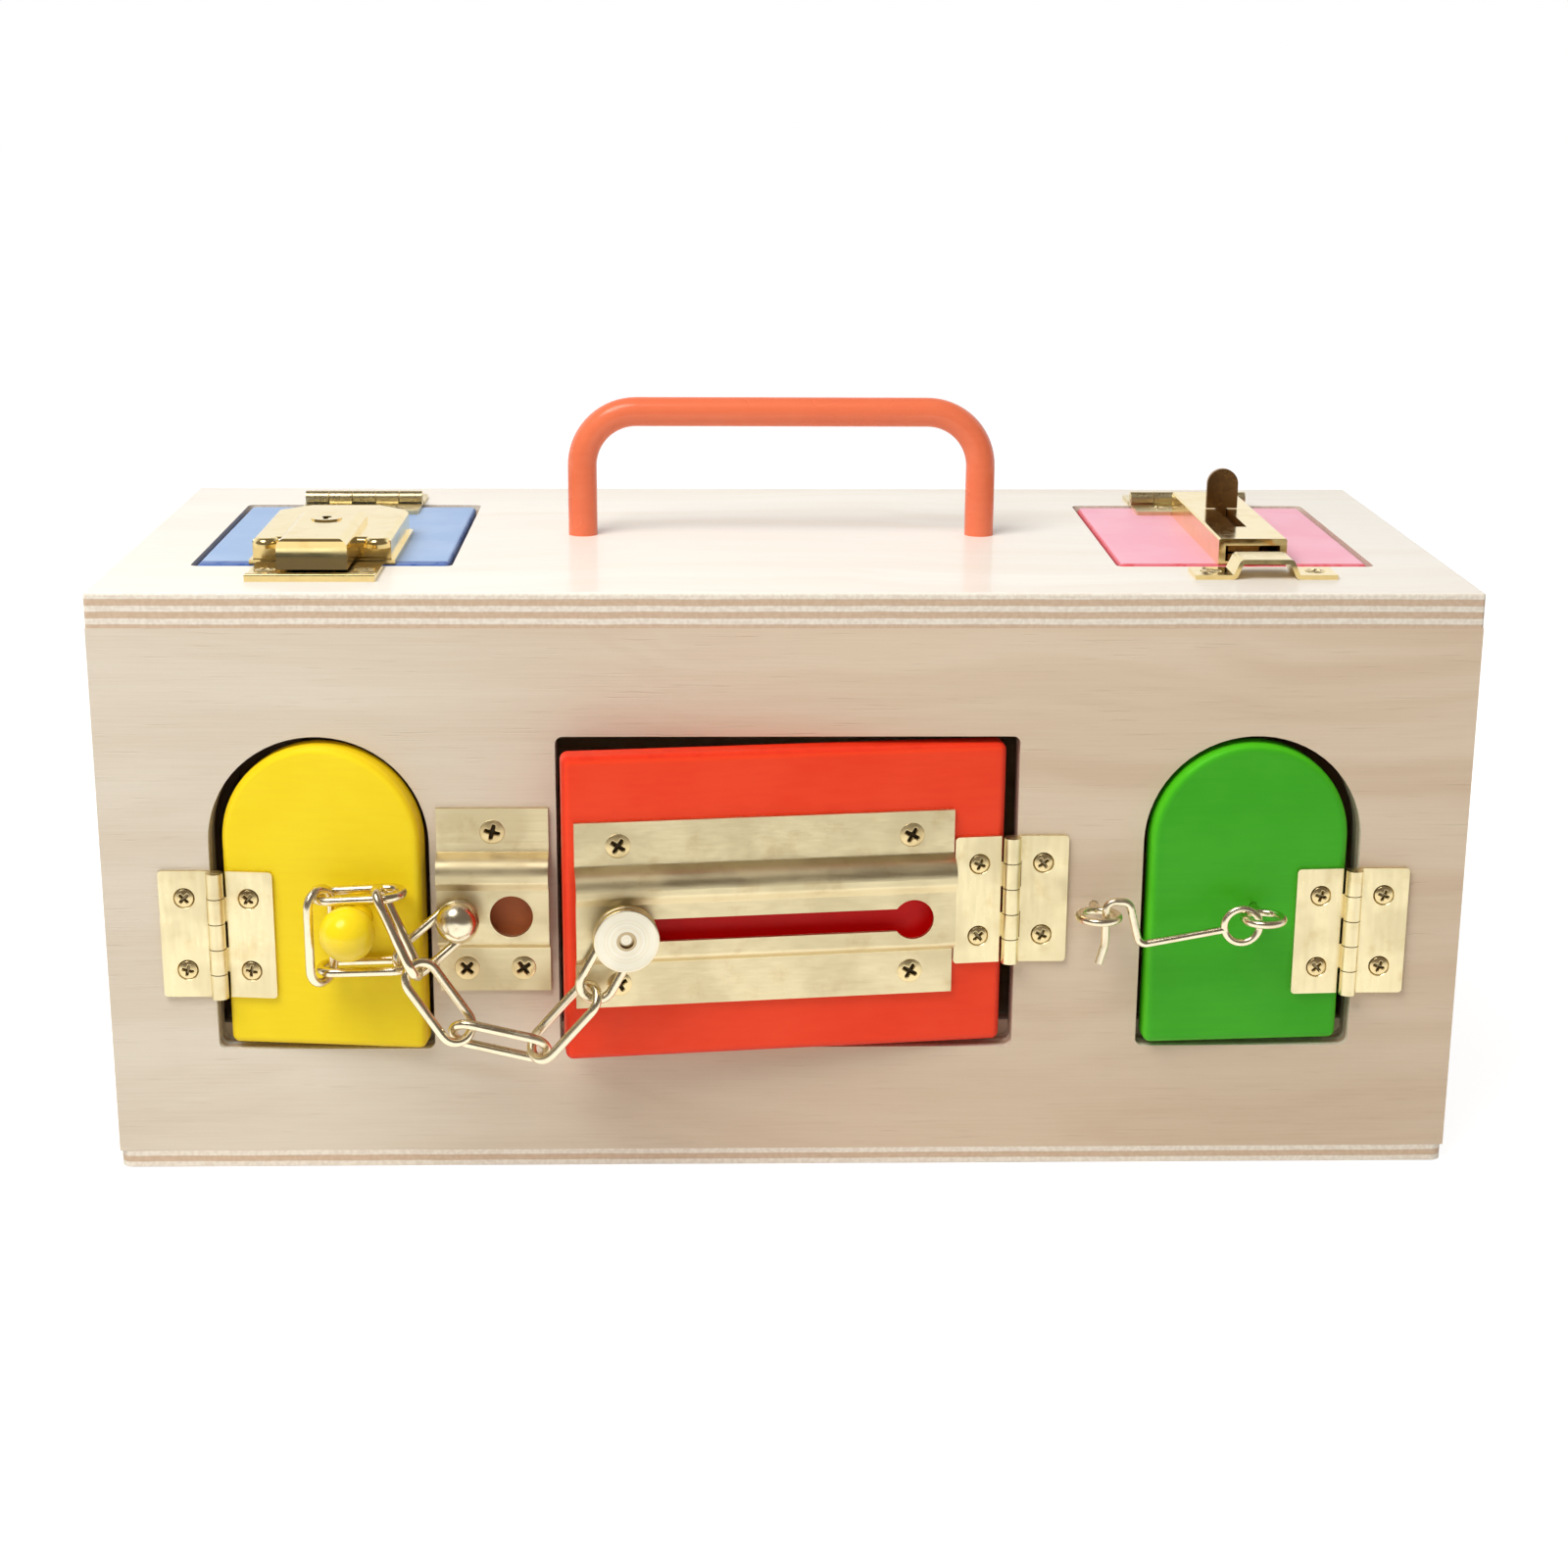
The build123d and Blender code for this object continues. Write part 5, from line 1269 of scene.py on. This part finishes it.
@dataclass
class Studio:
    """Camera, white room, soft light from above and the pale floor."""

    place: Point = (-0.0189, -0.7215, 0.2884)
    yaw: float = 1.59
    pitch: float = 15.94
    roll: float = 0.35
    lens: float = 60.47
    sensor: float = 36.0
    nearest: float = 0.01
    fill: Colour = (0.42, 0.42, 0.42, 1.0)
    dark: Colour = (0.1, 0.07, 0.045, 1.0)
    dark_share: float = 0.92
    dark_front: Span = (-0.05, 0.3)
    dark_top: Span = (0.5, 0.85)
    lamp_place: Point = (-0.42, -0.5, 0.98)
    lamp_aim: Point = (0.0, 0.0, 0.1)
    lamp_power: float = 10.5
    lamp_size: float = 0.7
    lamp_glow: Colour = (7.0, 7.0, 7.0, 1.0)
    lamp_disc: Span = (0.955, 0.985)
    floor_half: float = 6.0
    floor_drop: float = 0.0003
    floor_glow: float = 0.8
    floor_matt: float = 0.5
    floor_bounce: Colour = (0.8, 0.79, 0.78, 1.0)
    floor_front: Span = (-0.85, -0.45)
    floor_front_share: float = 0.1

    def build(self) -> None:
        """Builds the studio."""
        bpy.context.scene.view_settings.view_transform = "Standard"
        self._camera()
        self._room()
        self._lamp()
        self._floor()

    def _camera(self) -> None:
        """Stands the camera where the photograph was taken from."""
        yaw, pitch, roll = (math.radians(angle) for angle in (self.yaw, self.pitch, self.roll))
        turn = Matrix.Rotation(-yaw, 4, "Z") @ Matrix.Rotation(math.pi / 2 - pitch, 4, "X")
        data = bpy.data.cameras.new("camera")
        data.lens = self.lens
        data.sensor_width = self.sensor
        data.clip_start = self.nearest
        camera = plain_piece("camera", data)
        camera.matrix_world = Matrix.Translation(self.place) @ turn @ Matrix.Rotation(roll, 4, "Z")
        bpy.context.scene.camera = camera

    def _room(self) -> None:
        """White room that metal sees as dark in front, where the camera stands, and overhead."""
        world = bpy.data.worlds.new("white_room")
        bpy.context.scene.world = world
        world.use_nodes = True
        world.node_tree.nodes.clear()
        desk = NodeDesk(world.node_tree)
        path = desk.add("ShaderNodeLightPath").outputs
        coords = desk.add("ShaderNodeTexCoord").outputs["Generated"]
        aim = desk.parts(coords)
        front = desk.span(aim["Y"], *self.dark_front, self.dark_share, 0.0)
        high = desk.span(aim["Z"], *self.dark_top, 0.0, self.dark_share)
        seen = desk.mix(desk.math("MAXIMUM", front, high), WHITE, self.dark)
        near = desk.vector("DOT_PRODUCT", coords, tuple(Vector(self.lamp_place).normalized()))
        seen = desk.mix(desk.span(near, *self.lamp_disc), seen, self.lamp_glow)
        colour = desk.mix(path["Is Glossy Ray"], self.fill, seen)
        colour = desk.mix(path["Is Camera Ray"], colour, WHITE)
        light = desk.add("ShaderNodeBackground", {"Color": colour, "Strength": 1.0})
        desk.add("ShaderNodeOutputWorld", {"Surface": light.outputs[0]})

    def _lamp(self) -> None:
        """Hangs one large soft lamp in front of the box, up on its left."""
        data = bpy.data.lights.new("soft_lamp", "AREA")
        data.shape = "SQUARE"
        data.size = self.lamp_size
        data.energy = self.lamp_power
        lamp = plain_piece("soft_lamp", data)
        lamp.location = self.lamp_place
        lamp.visible_glossy = False
        aim = Vector(self.lamp_aim) - lamp.location
        lamp.rotation_euler = aim.to_track_quat("-Z", "Y").to_euler()

    def _floor(self) -> None:
        """Lays the pale floor that keeps the box's shadow."""
        half = self.floor_half
        corners = ((-half, -half), (half, -half), (half, half), (-half, half))
        mesh = bpy.data.meshes.new("floor")
        mesh.from_pydata([(x, y, -self.floor_drop) for x, y in corners], [], [(0, 1, 2, 3)])
        floor = plain_piece("floor", mesh)
        material = bpy.data.materials.new("pale_floor")
        material.use_nodes = True
        material.node_tree.nodes.clear()
        desk = NodeDesk(material.node_tree)
        path = desk.add("ShaderNodeLightPath").outputs
        spot = desk.parts(desk.add("ShaderNodeTexCoord").outputs["Object"])
        lit = desk.span(spot["Y"], *self.floor_front, self.floor_front_share, 1.0)
        bright = desk.math("MAXIMUM", path["Is Camera Ray"], lit)
        matt = desk.math("MULTIPLY", bright, self.floor_matt)
        glow = desk.math("MULTIPLY", bright, self.floor_glow)
        matt_floor = desk.first("ShaderNodeBsdfDiffuse", {"Color": matt})
        shine = desk.first("ShaderNodeEmission", {"Color": WHITE, "Strength": glow})
        seen = desk.first("ShaderNodeAddShader", {0: matt_floor, 1: shine})
        bounce = desk.first("ShaderNodeBsdfDiffuse", {"Color": self.floor_bounce})
        rays = desk.math("MAXIMUM", path["Is Camera Ray"], path["Is Glossy Ray"])
        both = desk.first("ShaderNodeMixShader", {0: rays, 1: bounce, 2: seen})
        desk.add("ShaderNodeOutputMaterial", {"Surface": both})
        mesh.materials.append(material)


def main() -> None:
    """Builds the looks of the lock box in order."""
    logging.basicConfig(level=logging.INFO, format="%(name)s: %(message)s")
    palette = Palette()
    Studio().build()
    for assembly in (PlyBox, PlainFittings, ScrewSet, DoorChain):
        assembly(palette).build()


if __name__ == "__main__":
    main()
